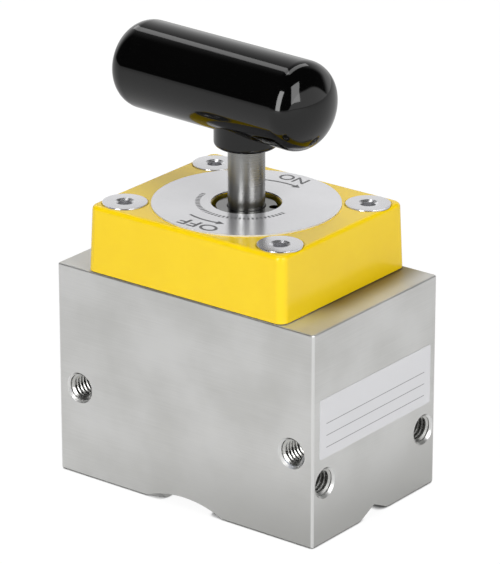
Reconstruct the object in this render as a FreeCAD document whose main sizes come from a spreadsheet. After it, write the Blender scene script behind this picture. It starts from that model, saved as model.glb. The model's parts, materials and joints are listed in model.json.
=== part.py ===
import FreeCAD, Part
import math
import os

import Sketcher

# Switchable magnetic welding square.
# A ground steel block with a blind bore holds two disc magnets, both magnetised across their
# diameter. The lower one is keyed to the block. The upper one turns half a turn with the handle,
# so that the two fields add up in the base (ON) or cancel out (OFF).
# Frame: origin at the middle of the block's base, +Z up, the block's length along X,
# the label on the +X end face. Lengths are in millimetres, angles in degrees.

# Driving dimensions: name, value, meaning
SIZES = (
    ("block_length", 69.0, "block along X"),
    ("block_width", 44.0, "block along Y"),
    ("block_height", 48.4, "block along Z"),
    ("corner_chamfer", 0.6, "chamfer on the upright edges"),
    ("edge_break", 0.4, "chamfer on the top and base edges"),
    ("bore_wall", 2.8, "thinnest wall beside the bore"),
    ("bore_floor", 5.0, "steel left under the bore"),
    ("channel_width", 12.5, "base channel between the poles, along Y"),
    ("channel_shoulder", 1.65, "height of the channel at its sides"),
    ("channel_rise", 0.75, "extra height of the channel's arched crown"),
    ("channel_flare", 38.0, "slope of the channel's flared mouths to the base"),
    ("channel_flare_reach", 3.0, "flared mouth inwards from the face"),
    ("vee_width", 10.8, "base V groove across the mouth, along X"),
    ("vee_depth", 2.5, "depth of the V groove"),
    ("tapped_diameter", 6.0, "accessory holes"),
    ("tapped_mouth", 7.0, "countersunk mouth of the accessory holes"),
    ("front_hole_inset", 5.7, "front hole axis to the end face"),
    ("front_hole_height", 20.5, "front hole axis above the base"),
    ("side_hole_inset", 4.3, "end hole axis to the front or back face"),
    ("side_hole_height", 13.8, "end hole axis above the base"),
    ("side_hole_depth", 12.0, "depth of the blind end holes"),
    ("drill_angle", 118.0, "drill point of blind holes"),
    ("slip_gap", 0.05, "gap per side of pieces that slide or push together"),
    ("locating_gap", 0.2, "gap per side of pieces that only locate"),
    ("running_gap", 0.3, "gap between faces that turn past each other"),
    ("thrust_gap", 0.1, "end float on each side of the thrust washer"),
    ("pad_thickness", 0.5, "pad under the fixed magnet"),
    ("lower_magnet_height", 16.0, "fixed magnet"),
    ("magnet_side_gap", 0.25, "turning magnet to liner, per side"),
    ("magnet_edge", 0.8, "chamfer on the magnets' rims"),
    ("dowel_diameter", 4.0, "dowels that key the fixed magnet"),
    ("dowel_angle", 45.0, "direction of the first dowel from +X"),
    ("separator_thickness", 0.8, "disc between the magnets"),
    ("liner_wall", 0.4, "bore liner"),
    ("carrier_thickness", 6.0, "rotor carrier's disc"),
    ("tower_diameter", 17.0, "carrier's slotted tower"),
    ("tower_drop", 3.7, "tower's top below the lock ring"),
    ("tower_chamfer", 0.5, "chamfer on the tower's rim"),
    ("carrier_floor", 2.2, "metal left under the spring bore"),
    ("slot_width", 3.2, "tower slot for the cross pin"),
    ("slot_floor_rise", 1.2, "slot's floor above the carrier's disc"),
    ("key_width", 4.0, "carrier key that drives the magnet"),
    ("key_reach", 3.0, "key inwards from the carrier's rim"),
    ("key_drop", 2.0, "key below the carrier's disc"),
    ("stop_inset", 5.2, "stop pin's axis inside the carrier's rim"),
    ("stop_pin_diameter", 3.0, "stop pin"),
    ("stop_pin_bite", 6.0, "stop pin held inside the cap"),
    ("stop_pin_reach", 2.2, "stop pin below the carrier's top face"),
    ("stop_groove_depth", 3.0, "arc groove that the stop pin runs in"),
    ("turn_angle", 180.0, "handle's travel from OFF to ON"),
    ("washer_thickness", 0.7, "thrust washer"),
    ("washer_width", 2.8, "thrust washer's ring width"),
    ("gasket_thickness", 0.25, "gasket under the cap"),
    ("gasket_inset", 0.2, "gasket's edge inside the cap's edge"),
    ("cap_end_margin", 8.05, "cap's foot inside the block's end"),
    ("cap_side_margin", 0.1, "cap's foot inside the block's side"),
    ("cap_height", 14.75, "cap above its gasket"),
    ("cap_draft", 1.9, "draft of the cap's sides"),
    ("cap_corner_radius", 2.1, "cap's upright corners"),
    ("cap_edge_radius", 1.0, "cap's top edge"),
    ("spigot_depth", 2.9, "ring that centres the cap in the bore"),
    ("spigot_wall", 2.0, "wall of that ring"),
    ("cap_pocket_diameter", 20.6, "pocket over the carrier's tower"),
    ("cap_ceiling", 5.1, "metal left above that pocket"),
    ("screw_end_inset", 5.65, "screw axis to the cap's end"),
    ("screw_side_inset", 6.4, "screw axis to the cap's side"),
    ("screw_diameter", 5.0, "cap screws"),
    ("screw_head_diameter", 9.8, "countersunk head"),
    ("screw_head_rim", 0.4, "upright rim of the head"),
    ("screw_proud", 0.2, "head above the cap"),
    ("screw_length", 25.0, "whole length of a cap screw"),
    ("screw_hole_spare", 2.5, "tapped hole past the screw's tip"),
    ("socket_flats", 3.0, "hexagon socket across flats"),
    ("socket_depth", 2.2, "hexagon socket"),
    ("screw_tip_chamfer", 0.6, "chamfer on the screw's tip"),
    ("dial_diameter", 40.7, "dial plate"),
    ("dial_hole", 15.3, "hole in the dial plate"),
    ("dial_thickness", 0.3, "dial plate"),
    ("bush_head_diameter", 13.8, "head of the shaft bush"),
    ("bush_head_height", 2.5, "head of the shaft bush"),
    ("bush_head_gap", 0.6, "head to its counterbore, per side"),
    ("bush_body_diameter", 11.9, "body of the shaft bush"),
    ("bush_sink", 0.5, "bush below the cap's top"),
    ("bush_chamfer", 0.4, "chamfer on the bush's head"),
    ("spanner_notch_diameter", 2.2, "round notch in the rim of the bush"),
    ("spanner_notch_depth", 1.5, "notch below the bush's top"),
    ("spanner_notch_inset", 0.9, "notch's centre inside the bush's rim"),
    ("spanner_notch_angle", 27.0, "direction of the notch from +X"),
    ("cap_bore_chamfer", 0.3, "chamfer on the cap's counterbore"),
    ("seal_section", 1.2, "seal ring's section"),
    ("seal_groove_rise", 0.9, "seal groove above the bush's foot"),
    ("lock_ring_thickness", 1.4, "lock ring"),
    ("lock_ring_hole", 9.4, "hole in the lock ring"),
    ("lock_notch_width", 3.6, "notch that takes the peg at ON"),
    ("shaft_diameter", 8.0, "drive shaft"),
    ("shaft_chamfer", 0.6, "chamfer on the shaft's ends"),
    ("shaft_tail", 3.5, "shaft below its cross pin's axis"),
    ("cross_pin_diameter", 3.0, "cross pin and lock peg"),
    ("cross_pin_length", 16.0, "cross pin"),
    ("peg_reach", 9.5, "lock peg from the turning axis"),
    ("peg_bite", 5.0, "lock peg held inside the shaft"),
    ("press_travel", 2.5, "handle's downward travel"),
    ("spring_wire", 0.7, "release spring's wire"),
    ("spring_side_gap", 0.4, "spring inside its bore, per side"),
    ("spring_turns", 4.0, "release spring's turns"),
    ("handle_height", 25.2, "handle's axis above the cap's top"),
    ("handle_diameter", 19.5, "handle bar"),
    ("handle_long_end", 34.0, "handle's long end from the turning axis"),
    ("handle_short_end", 21.2, "handle's short end from the turning axis"),
    ("handle_dome_extra", 3.3, "radius of the domed ends beyond the bar's radius"),
    ("handle_shoulder", 5.4, "rounding between the bar and its domed ends"),
    ("handle_set_angle", -3.3, "bar's direction from +X at OFF"),
    ("hub_diameter", 14.0, "handle's hub"),
    ("hub_drop", 12.05, "hub's foot below the handle's axis"),
    ("hub_round", 1.0, "rounding of the hub's foot"),
    ("insert_diameter", 10.0, "threaded insert in the hub"),
    ("insert_recess", 0.4, "insert above the hub's foot"),
    ("insert_length", 13.5, "threaded insert"),
    ("insert_roof", 0.8, "metal left above the insert's bore"),
    ("label_length", 39.6, "label along Y"),
    ("label_height", 13.5, "label along Z"),
    ("label_centre_height", 26.35, "label's centre above the base"),
    ("label_shift", 0.1, "label's centre from the middle, along Y"),
    ("label_thickness", 0.1, "label"),
)

document = FreeCAD.newDocument("welding_square")
sheet = document.addObject("Spreadsheet::Sheet", "sizes")


class Size:
    """A number together with the sheet expression that gives it."""

    def __init__(self, value, text):
        self.value = float(value)
        self.text = text

    def __add__(self, other):
        other = as_size(other)
        return Size(self.value + other.value, "(%s + %s)" % (self.text, other.text))

    def __sub__(self, other):
        other = as_size(other)
        return Size(self.value - other.value, "(%s - %s)" % (self.text, other.text))

    def __mul__(self, other):
        other = as_size(other)
        return Size(self.value * other.value, "(%s * %s)" % (self.text, other.text))

    def __truediv__(self, other):
        other = as_size(other)
        return Size(self.value / other.value, "(%s / %s)" % (self.text, other.text))

    def __neg__(self):
        return Size(-self.value, "(-1 * %s)" % self.text)


def as_size(number):
    """Let a plain number stand beside a sheet value."""
    if isinstance(number, Size):
        return number
    return Size(number, "%.6f" % number)


def cosine(angle):
    """Cosine of a sheet angle in degrees."""
    return Size(math.cos(math.radians(angle.value)), "cos(%s * 1deg)" % angle.text)


def sine(angle):
    """Sine of a sheet angle in degrees."""
    return Size(math.sin(math.radians(angle.value)), "sin(%s * 1deg)" % angle.text)


def root(size):
    """Square root of a size."""
    return Size(math.sqrt(size.value), "sqrt(%s)" % size.text)


class Sheet:
    """The driving dimensions, read by name as Size values."""

    def __init__(self, rows):
        for row, (name, value, meaning) in enumerate(rows, start=1):
            sheet.set("A%d" % row, name)
            sheet.set("B%d" % row, "%g" % value)
            sheet.set("C%d" % row, meaning)
            sheet.setAlias("B%d" % row, name)
            setattr(self, name, Size(value, "sizes." + name))


s = Sheet(SIZES)
document.recompute()

ZERO = as_size(0)

# Heights and radii that several pieces share, from the base upwards
bore_radius = s.block_width / 2 - s.bore_wall
fitted_radius = bore_radius - s.slip_gap
pad_base = s.bore_floor
lower_magnet_base = pad_base + s.pad_thickness
separator_base = lower_magnet_base + s.lower_magnet_height
liner_base = separator_base + s.separator_thickness
rotor_base = liner_base + s.running_gap
cap_base = s.block_height + s.gasket_thickness
cap_top = cap_base + s.cap_height
pocket_top = cap_top - s.cap_ceiling
lock_ring_base = pocket_top - s.lock_ring_thickness

# The spigot's foot sits a fixed depth in the bore and the rotor hangs from it
spigot_foot = cap_base - s.spigot_depth
washer_base = spigot_foot - s.thrust_gap - s.washer_thickness
carrier_top = washer_base - s.thrust_gap
carrier_base = carrier_top - s.carrier_thickness
upper_magnet_height = carrier_base - rotor_base
liner_top = spigot_foot - s.locating_gap
liner_inner_radius = fitted_radius - s.liner_wall
magnet_radius = liner_inner_radius - s.magnet_side_gap
carrier_radius = liner_inner_radius - s.slip_gap
stop_radius = carrier_radius - s.stop_inset
tower_top = lock_ring_base - s.tower_drop
slot_floor = carrier_top + s.slot_floor_rise
spring_base = carrier_base + s.carrier_floor

# Shaft, pins and handle
shaft_radius = s.shaft_diameter / 2
pin_radius = s.cross_pin_diameter / 2
pin_height = slot_floor + s.locating_gap + pin_radius + s.press_travel
peg_height = lock_ring_base - s.running_gap - pin_radius
shaft_base = pin_height - s.shaft_tail
handle_axis = cap_top + s.handle_height
hub_foot = handle_axis - s.hub_drop
insert_base = hub_foot + s.insert_recess
insert_top = insert_base + s.insert_length
shaft_top = insert_top - s.insert_roof
spring_bore_radius = shaft_radius + s.slip_gap * 2

# Cap outline and screws
cap_length = s.block_length - s.cap_end_margin * 2
cap_width = s.block_width - s.cap_side_margin * 2
screw_x = cap_length / 2 - s.screw_end_inset
screw_y = cap_width / 2 - s.screw_side_inset
screw_top = cap_top + s.screw_proud
screw_radius = s.screw_diameter / 2
screw_head_radius = s.screw_head_diameter / 2


def bind(thing, path, size):
    """Tie one property to the sheet."""
    thing.setExpression(path, as_size(size).text)


def new_body(name, base=ZERO):
    """A body drawn from its own foot and placed at its height."""
    body = document.addObject("PartDesign::Body", name)
    body.Label = name
    bind(body, "Placement.Base.z", base)
    return body


def plane(body, role):
    """One of the body's own origin planes or axes."""
    return next(item for item in body.Origin.OriginFeatures if item.Role == role)


def sketch_on(body, name, role, height=ZERO):
    """Empty sketch on an origin plane of the body, moved along the plane's normal."""
    sketch = body.newObject("Sketcher::SketchObject", name)
    sketch.AttachmentSupport = [(plane(body, role), "")]
    sketch.MapMode = "FlatFace"
    bind(sketch, "AttachmentOffset.Base.z", height)
    return sketch


def fix_point(sketch, geometry, end, x=None, y=None):
    """Dimension a point of the sketch from its origin, along one axis or both."""
    for kind, axis, given in (("DistanceX", -2, x), ("DistanceY", -1, y)):
        if given is None:
            continue
        size = as_size(given)
        if size.value == 0:
            sketch.addConstraint(Sketcher.Constraint("PointOnObject", geometry, end, axis))
        else:
            rule = Sketcher.Constraint(kind, -1, 1, geometry, end, size.value)
            bind(sketch, "Constraints[%d]" % sketch.addConstraint(rule), size)


def vector(x, y):
    """Point of a sketch from two sizes."""
    return FreeCAD.Vector(as_size(x).value, as_size(y).value, 0)


def outline(sketch, points):
    """Closed outline of straight lines with dimensioned corners."""
    first = sketch.GeometryCount
    for index, point in enumerate(points):
        following = points[(index + 1) % len(points)]
        sketch.addGeometry(Part.LineSegment(vector(*point), vector(*following)), False)
    for index, point in enumerate(points):
        line = first + index
        following = first + (index + 1) % len(points)
        sketch.addConstraint(Sketcher.Constraint("Coincident", line, 2, following, 1))
        fix_point(sketch, line, 1, *point)


def straight(sketch, start, end):
    """Straight line between two points of sizes."""
    sketch.addGeometry(Part.LineSegment(vector(*start), vector(*end)), False)


def short_arc(sketch, centre, start, end):
    """Arc of less than half a turn from its centre and its two ends."""
    middle = vector(*centre)
    first = vector(*start)
    last = vector(*end)
    outwards = (first + last - middle * 2).normalize()
    crest = middle + outwards * (first - middle).Length
    sketch.addGeometry(Part.Arc(first, crest, last), False)


def rectangle(sketch, low_x, low_y, high_x, high_y):
    """Rectangle between two dimensioned corners."""
    outline(sketch, ((low_x, low_y), (high_x, low_y), (high_x, high_y), (low_x, high_y)))


def centred_rectangle(sketch, length, width):
    """Rectangle about the sketch's origin."""
    rectangle(sketch, -(length / 2), -(width / 2), length / 2, width / 2)


def circle(sketch, x, y, radius):
    """Circle with a dimensioned centre and radius."""
    radius = as_size(radius)
    shape = Part.Circle(vector(x, y), FreeCAD.Vector(0, 0, 1), radius.value)
    index = sketch.addGeometry(shape, False)
    fix_point(sketch, index, 3, x, y)
    rule = sketch.addConstraint(Sketcher.Constraint("Radius", index, radius.value))
    bind(sketch, "Constraints[%d]" % rule, radius)


def feature(body, kind, name, sketch, **settings):
    """Sketch-based feature of the body."""
    result = body.newObject("PartDesign::" + kind, name)
    result.Profile = sketch
    for setting, value in settings.items():
        setattr(result, setting, value)
    sketch.Visibility = False
    return result


def pad(body, name, sketch, length, **settings):
    """Pad of a bound length."""
    result = feature(body, "Pad", name, sketch, **settings)
    bind(result, "Length", length)
    return result


def pocket(body, name, sketch, length, **settings):
    """Pocket of a bound depth, into the material below the sketch unless reversed."""
    result = feature(body, "Pocket", name, sketch, **settings)
    bind(result, "Length", length)
    return result


def revolution(body, name, sketch):
    """Full turn about the sketch's upright axis."""
    return feature(body, "Revolution", name, sketch, ReferenceAxis=(sketch, ["V_Axis"]), Angle=360)


def groove(body, name, sketch, angle):
    """Turned cut about the sketch's upright axis."""
    result = feature(body, "Groove", name, sketch, ReferenceAxis=(sketch, ["V_Axis"]))
    bind(result, "Angle", angle)
    return result


def drilled(body, name, sketch, diameter, depth=None, mouth=None):
    """Drilled hole at each circle of the sketch, through the body where no depth is given."""
    document.recompute()
    result = feature(body, "Hole", name, sketch)
    document.recompute()
    result.ThreadType = "None"
    bind(result, "Diameter", diameter)
    result.DepthType = "ThroughAll" if depth is None else "Dimension"
    if depth is not None:
        bind(result, "Depth", depth)
        result.DrillPoint = "Angled"
        bind(result, "DrillPointAngle", s.drill_angle)
    if mouth is not None:
        result.HoleCutType = "Countersink"
        bind(result, "HoleCutDiameter", mouth)
        result.HoleCutCountersinkAngle = 90
    return result


def mirrored(body, name, originals, role):
    """Repeat features on the other side of an origin plane."""
    result = body.newObject("PartDesign::Mirrored", name)
    result.Originals = originals
    result.MirrorPlane = (plane(body, role), [""])
    body.Tip = result
    return result


def edges_of(item, wanted):
    """Names of the edges whose ends all pass the test."""
    document.recompute()
    names = []
    for index, edge in enumerate(item.Shape.Edges, start=1):
        ends = [vertex.Point for vertex in edge.Vertexes]
        if wanted(ends):
            names.append("Edge%d" % index)
    return names


def upright(ends):
    """An edge that runs mostly along Z."""
    return len(ends) == 2 and abs(ends[0].z - ends[1].z) > (ends[0] - ends[1]).Length * 0.9


def at_height(*heights):
    """Test for edges that lie in one of the given horizontal planes."""
    def wanted(ends):
        return any(all(abs(end.z - as_size(height).value) < 1e-5 for end in ends) for height in heights)
    return wanted


def chamfer(body, name, item, names, size):
    """Equal chamfer of a bound size."""
    result = body.newObject("PartDesign::Chamfer", name)
    result.Base = (item, names)
    bind(result, "Size", size)
    return result


def fillet(body, name, item, names, radius):
    """Fillet of a bound radius."""
    result = body.newObject("PartDesign::Fillet", name)
    result.Base = (item, names)
    bind(result, "Radius", radius)
    return result


def turned(name, base, points):
    """Body turned from a profile of radius and height."""
    body = new_body(name, base)
    sketch = sketch_on(body, name + "_profile", "XZ_Plane")
    outline(sketch, points)
    revolution(body, name + "_turned", sketch)
    return body


def ring(name, base, outer, inner, height):
    """Flat ring."""
    return turned(name, base, ((inner, ZERO), (outer, ZERO), (outer, height), (inner, height)))


def disc(name, base, radius, height):
    """Flat disc."""
    return turned(name, base, ((ZERO, ZERO), (radius, ZERO), (radius, height), (ZERO, height)))


def solid_pin(name, radius, length):
    """Plain round pin along its own Z."""
    pin = document.addObject("Part::Cylinder", name)
    pin.Label = name
    bind(pin, "Radius", radius)
    bind(pin, "Height", length)
    return pin


def place(item, x, y, z):
    """Bind the three coordinates of a placement."""
    for axis, size in (("x", x), ("y", y), ("z", z)):
        bind(item, "Placement.Base." + axis, size)


def steel_block():
    """Ground block with its bore, accessory holes, base channel and V groove."""
    body = new_body("steel_block")
    base = sketch_on(body, "block_outline", "XY_Plane")
    centred_rectangle(base, s.block_length, s.block_width)
    block = pad(body, "block", base, s.block_height)
    corners = chamfer(body, "upright_edges", block, edges_of(block, upright), s.corner_chamfer)
    rims = edges_of(corners, at_height(ZERO, s.block_height))
    chamfer(body, "flat_edges", corners, rims, s.edge_break)

    bore = sketch_on(body, "bore_circle", "XY_Plane", s.block_height)
    circle(bore, ZERO, ZERO, bore_radius)
    pocket(body, "bore", bore, s.block_height - s.bore_floor)
    key_seats = sketch_on(body, "key_seat_circle", "XY_Plane", s.block_height)
    circle(key_seats, *dowel_place(1), s.dowel_diameter / 2 + s.slip_gap)
    key_seat = pocket(body, "key_seat", key_seats, s.block_height - lower_magnet_base)
    pair = body.newObject("PartDesign::PolarPattern", "key_seats")
    pair.Originals = [key_seat]
    pair.Axis = (plane(body, "Z_Axis"), [""])
    pair.Angle = 360
    pair.Occurrences = 2
    body.Tip = pair

    channel = sketch_on(body, "channel_section", "XZ_Plane")
    half = s.channel_width / 2
    crown = s.channel_shoulder + s.channel_rise
    crown_radius = (half * half + s.channel_rise * s.channel_rise) / (s.channel_rise * 2)
    centre = crown - crown_radius
    lines = (((-half, s.channel_shoulder), (-half, ZERO)), ((-half, ZERO), (half, ZERO)),
             ((half, ZERO), (half, s.channel_shoulder)))
    for start, end in lines:
        straight(channel, start, end)
    arch = Part.Arc(vector(half, s.channel_shoulder), vector(ZERO, crown), vector(-half, s.channel_shoulder))
    channel.addGeometry(arch, False)
    channel.addConstraint(Sketcher.Constraint("Coincident", 0, 2, 1, 1))
    channel.addConstraint(Sketcher.Constraint("Coincident", 1, 2, 2, 1))
    channel.addConstraint(Sketcher.Constraint("Coincident", 2, 2, 3, 1))
    channel.addConstraint(Sketcher.Constraint("Coincident", 3, 2, 0, 1))
    for line, (start, _) in enumerate(lines):
        fix_point(channel, line, 1, *start)
    fix_point(channel, 2, 2, *lines[2][1])
    fix_point(channel, 3, 3, y=centre)
    pocket(body, "channel", channel, s.block_width * 2, Midplane=True)
    flare = sketch_on(body, "channel_flare_circle", "XZ_Plane", s.block_width / 2)
    circle(flare, ZERO, centre, crown_radius)
    front_flare = pocket(body, "front_flare", flare, s.channel_flare_reach)
    bind(front_flare, "TaperAngle", -s.channel_flare)
    mirrored(body, "back_flare", [front_flare], "XZ_Plane")

    vee = sketch_on(body, "vee_section", "YZ_Plane")
    outline(vee, ((-(s.vee_width / 2), ZERO), (s.vee_width / 2, ZERO), (ZERO, s.vee_depth)))
    pocket(body, "vee_groove", vee, s.block_length * 2, Midplane=True)

    front = sketch_on(body, "front_hole_circles", "XZ_Plane", s.block_width / 2)
    front_x = s.block_length / 2 - s.front_hole_inset
    for x in (-front_x, front_x):
        circle(front, x, s.front_hole_height, s.tapped_diameter / 2)
    front_holes = drilled(body, "front_holes", front, s.tapped_diameter, mouth=s.tapped_mouth)
    mirrored(body, "back_mouths", [front_holes], "XZ_Plane")

    side = sketch_on(body, "side_hole_circles", "YZ_Plane", s.block_length / 2)
    side_y = s.block_width / 2 - s.side_hole_inset
    for y in (-side_y, side_y):
        circle(side, y, s.side_hole_height, s.tapped_diameter / 2)
    side_holes = drilled(body, "right_holes", side, s.tapped_diameter, s.side_hole_depth, s.tapped_mouth)
    mirrored(body, "left_holes", [side_holes], "YZ_Plane")

    screws = sketch_on(body, "screw_hole_circles", "XY_Plane", s.block_height)
    for x in (-screw_x, screw_x):
        for y in (-screw_y, screw_y):
            circle(screws, x, y, screw_radius)
    depth = s.block_height - (screw_top - s.screw_length) + s.screw_hole_spare
    drilled(body, "screw_holes", screws, s.screw_diameter + s.slip_gap * 2, depth)
    return body


def dowel_place(side):
    """Centre of a dowel on the bore's wall, on one side of the axis or the other."""
    return (cosine(s.dowel_angle) * bore_radius * side, sine(s.dowel_angle) * bore_radius * side)


def lower_magnet():
    """Fixed disc magnet with a half-round keyway for each dowel."""
    body = turned("lower_magnet", lower_magnet_base, magnet_profile(fitted_radius, s.lower_magnet_height))
    keyways = sketch_on(body, "keyway_circles", "XY_Plane", s.lower_magnet_height)
    for side in (1, -1):
        circle(keyways, *dowel_place(side), s.dowel_diameter / 2 + s.slip_gap)
    pocket(body, "keyways", keyways, s.lower_magnet_height * 2)
    return body


def magnet_profile(radius, height):
    """Half section of a disc magnet with chamfered rims."""
    edge = s.magnet_edge
    return ((ZERO, ZERO), (radius - edge, ZERO), (radius, edge), (radius, height - edge),
            (radius - edge, height), (ZERO, height))


def magnet_keys():
    """Two dowels, half in the block and half in the fixed magnet."""
    dowels = []
    for side, name in ((1, "front_dowel"), (-1, "back_dowel")):
        dowel = solid_pin(name, s.dowel_diameter / 2, s.lower_magnet_height)
        place(dowel, *dowel_place(side), lower_magnet_base)
        dowels.append(dowel)
    return grouped("magnet_keys", dowels)


def grouped(name, members):
    """Identical separate solids under one name."""
    group = document.addObject("Part::Compound", name)
    group.Label = name
    group.Links = members
    return group


def upper_magnet():
    """Turning disc magnet with a notch for each carrier key."""
    body = turned("upper_magnet", rotor_base, magnet_profile(magnet_radius, upper_magnet_height))
    notches = sketch_on(body, "notch_outlines", "XY_Plane", upper_magnet_height)
    half = s.key_width / 2 + s.slip_gap
    inner = carrier_radius - s.key_reach - s.slip_gap
    outer = carrier_radius + s.locating_gap
    rectangle(notches, -half, inner, half, outer)
    rectangle(notches, -half, -outer, half, -inner)
    pocket(body, "notches", notches, s.key_drop + s.locating_gap)
    return body


def rotor_carrier():
    """Carrier disc with its tower, spring bore, cross slot, arc stop groove and keys."""
    disc_top = s.carrier_thickness
    top = tower_top - carrier_base
    tower_radius = s.tower_diameter / 2
    rim = s.tower_chamfer
    body = turned("rotor_carrier", carrier_base, (
        (ZERO, ZERO), (carrier_radius, ZERO), (carrier_radius, disc_top), (tower_radius, disc_top),
        (tower_radius, top - rim), (tower_radius - rim, top), (spring_bore_radius, top),
        (spring_bore_radius, s.carrier_floor), (ZERO, s.carrier_floor)))

    slot = sketch_on(body, "slot_outline", "XY_Plane", top)
    rectangle(slot, -(s.slot_width / 2), -s.tower_diameter, s.slot_width / 2, s.tower_diameter)
    pocket(body, "cross_slot", slot, tower_top - slot_floor)

    half = s.stop_pin_diameter / 2 + s.locating_gap
    arc = sketch_on(body, "stop_arc_section", "XZ_Plane")
    rectangle(arc, stop_radius - half, disc_top - s.stop_groove_depth, stop_radius + half, disc_top)
    groove(body, "stop_arc", arc, s.turn_angle)
    ends = sketch_on(body, "stop_end_circles", "XY_Plane", disc_top)
    circle(ends, stop_radius, ZERO, half)
    circle(ends, *stop_end(), half)
    pocket(body, "stop_ends", ends, s.stop_groove_depth)

    keys = sketch_on(body, "key_outlines", "XY_Plane")
    half_key = s.key_width / 2
    reach = carrier_radius - s.slip_gap * 2
    inner = carrier_radius - s.key_reach
    rectangle(keys, -half_key, inner, half_key, reach - s.magnet_side_gap)
    rectangle(keys, -half_key, -(reach - s.magnet_side_gap), half_key, -inner)
    pad(body, "keys", keys, s.key_drop, Reversed=True)
    return body


def stop_end():
    """Far end of the arc groove's centre line."""
    return cosine(s.turn_angle) * stop_radius, sine(s.turn_angle) * stop_radius


def cap():
    """Cast cap with drafted sides, rounded edges, centring spigot, pocket and countersinks."""
    body = new_body("cap", cap_base)
    foot = sketch_on(body, "cap_outline", "XY_Plane")
    centred_rectangle(foot, cap_length, cap_width)
    shell = pad(body, "cap_block", foot, s.cap_height)
    bind(shell, "TaperAngle", -s.cap_draft)
    corners = fillet(body, "upright_corners", shell, edges_of(shell, upright), s.cap_corner_radius)
    rounded = fillet(body, "top_edge", corners, edges_of(corners, at_height(s.cap_height)), s.cap_edge_radius)
    body.Tip = rounded

    spigot_radius = bore_radius - s.locating_gap
    spigot = sketch_on(body, "spigot_circles", "XY_Plane")
    circle(spigot, ZERO, ZERO, spigot_radius)
    circle(spigot, ZERO, ZERO, spigot_radius - s.spigot_wall)
    pad(body, "spigot", spigot, s.spigot_depth, Reversed=True)

    opening = sketch_on(body, "pocket_circle", "XY_Plane")
    circle(opening, ZERO, ZERO, s.cap_pocket_diameter / 2)
    pocket(body, "tower_pocket", opening, s.cap_height - s.cap_ceiling, Reversed=True)

    bore = sketch_on(body, "bush_seat_section", "XZ_Plane")
    seat = s.cap_height - s.bush_sink - s.bush_head_height
    head = s.bush_head_diameter / 2 + s.bush_head_gap
    throat = s.bush_body_diameter / 2 + s.slip_gap
    edge = s.cap_bore_chamfer
    outline(bore, ((ZERO, ZERO), (throat, ZERO), (throat, seat), (head, seat),
                   (head, s.cap_height - edge), (head + edge, s.cap_height), (ZERO, s.cap_height)))
    groove(body, "bush_seat", bore, 360)

    pin_hole = sketch_on(body, "stop_pin_circle", "XY_Plane")
    circle(pin_hole, stop_radius, ZERO, s.stop_pin_diameter / 2 + s.slip_gap)
    pocket(body, "stop_pin_hole", pin_hole, s.stop_pin_bite, Reversed=True)

    countersinks = sketch_on(body, "screw_circles", "XY_Plane", s.cap_height)
    for x in (-screw_x, screw_x):
        for y in (-screw_y, screw_y):
            circle(countersinks, x, y, screw_radius)
    mouth = s.screw_head_diameter + (s.screw_head_rim - s.screw_proud + s.slip_gap * 2) * 2
    drilled(body, "screw_holes", countersinks, s.screw_diameter + s.locating_gap * 2, mouth=mouth)
    return body


def cap_gasket():
    """Thin gasket between block and cap."""
    body = new_body("cap_gasket", s.block_height)
    sheet_outline = sketch_on(body, "gasket_outline", "XY_Plane")
    centred_rectangle(sheet_outline, cap_length - s.gasket_inset * 2, cap_width - s.gasket_inset * 2)
    sheet_pad = pad(body, "gasket_sheet", sheet_outline, s.gasket_thickness)
    rounded = fillet(body, "gasket_corners", sheet_pad, edges_of(sheet_pad, upright), s.cap_corner_radius)
    body.Tip = rounded
    holes = sketch_on(body, "gasket_circles", "XY_Plane", s.gasket_thickness)
    circle(holes, ZERO, ZERO, bore_radius)
    for x in (-screw_x, screw_x):
        for y in (-screw_y, screw_y):
            circle(holes, x, y, screw_radius + s.locating_gap)
    pocket(body, "gasket_holes", holes, s.gasket_thickness * 2)
    return body


def cap_screws():
    """Four countersunk screws with hexagon sockets."""
    body = new_body("cap_screw", screw_top)
    place(body, screw_x, screw_y, screw_top)
    sketch = sketch_on(body, "screw_profile", "XZ_Plane")
    neck = s.screw_head_rim + screw_head_radius - screw_radius
    tip = s.screw_tip_chamfer
    outline(sketch, ((ZERO, ZERO), (ZERO, -s.screw_length), (screw_radius - tip, -s.screw_length),
                     (screw_radius, tip - s.screw_length), (screw_radius, -neck),
                     (screw_head_radius, -s.screw_head_rim), (screw_head_radius, ZERO)))
    revolution(body, "screw_turned", sketch)
    socket = sketch_on(body, "socket_outline", "XY_Plane")
    corner = s.socket_flats / math.sqrt(3)
    hexagon = []
    for step in range(6):
        angle = math.radians(60 * step)
        hexagon.append((corner * math.cos(angle), corner * math.sin(angle)))
    outline(socket, hexagon)
    pocket(body, "socket", socket, s.socket_depth)
    row = [body]
    for name, normal, sources in (("end", (1, 0, 0), [body]), ("side", (0, 1, 0), None)):
        for source in sources or list(row):
            copy = document.addObject("Part::Mirroring", "%s_of_%s" % (name, source.Name))
            copy.Source = source
            copy.Normal = normal
            row.append(copy)
    return grouped("cap_screws", row)


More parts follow.
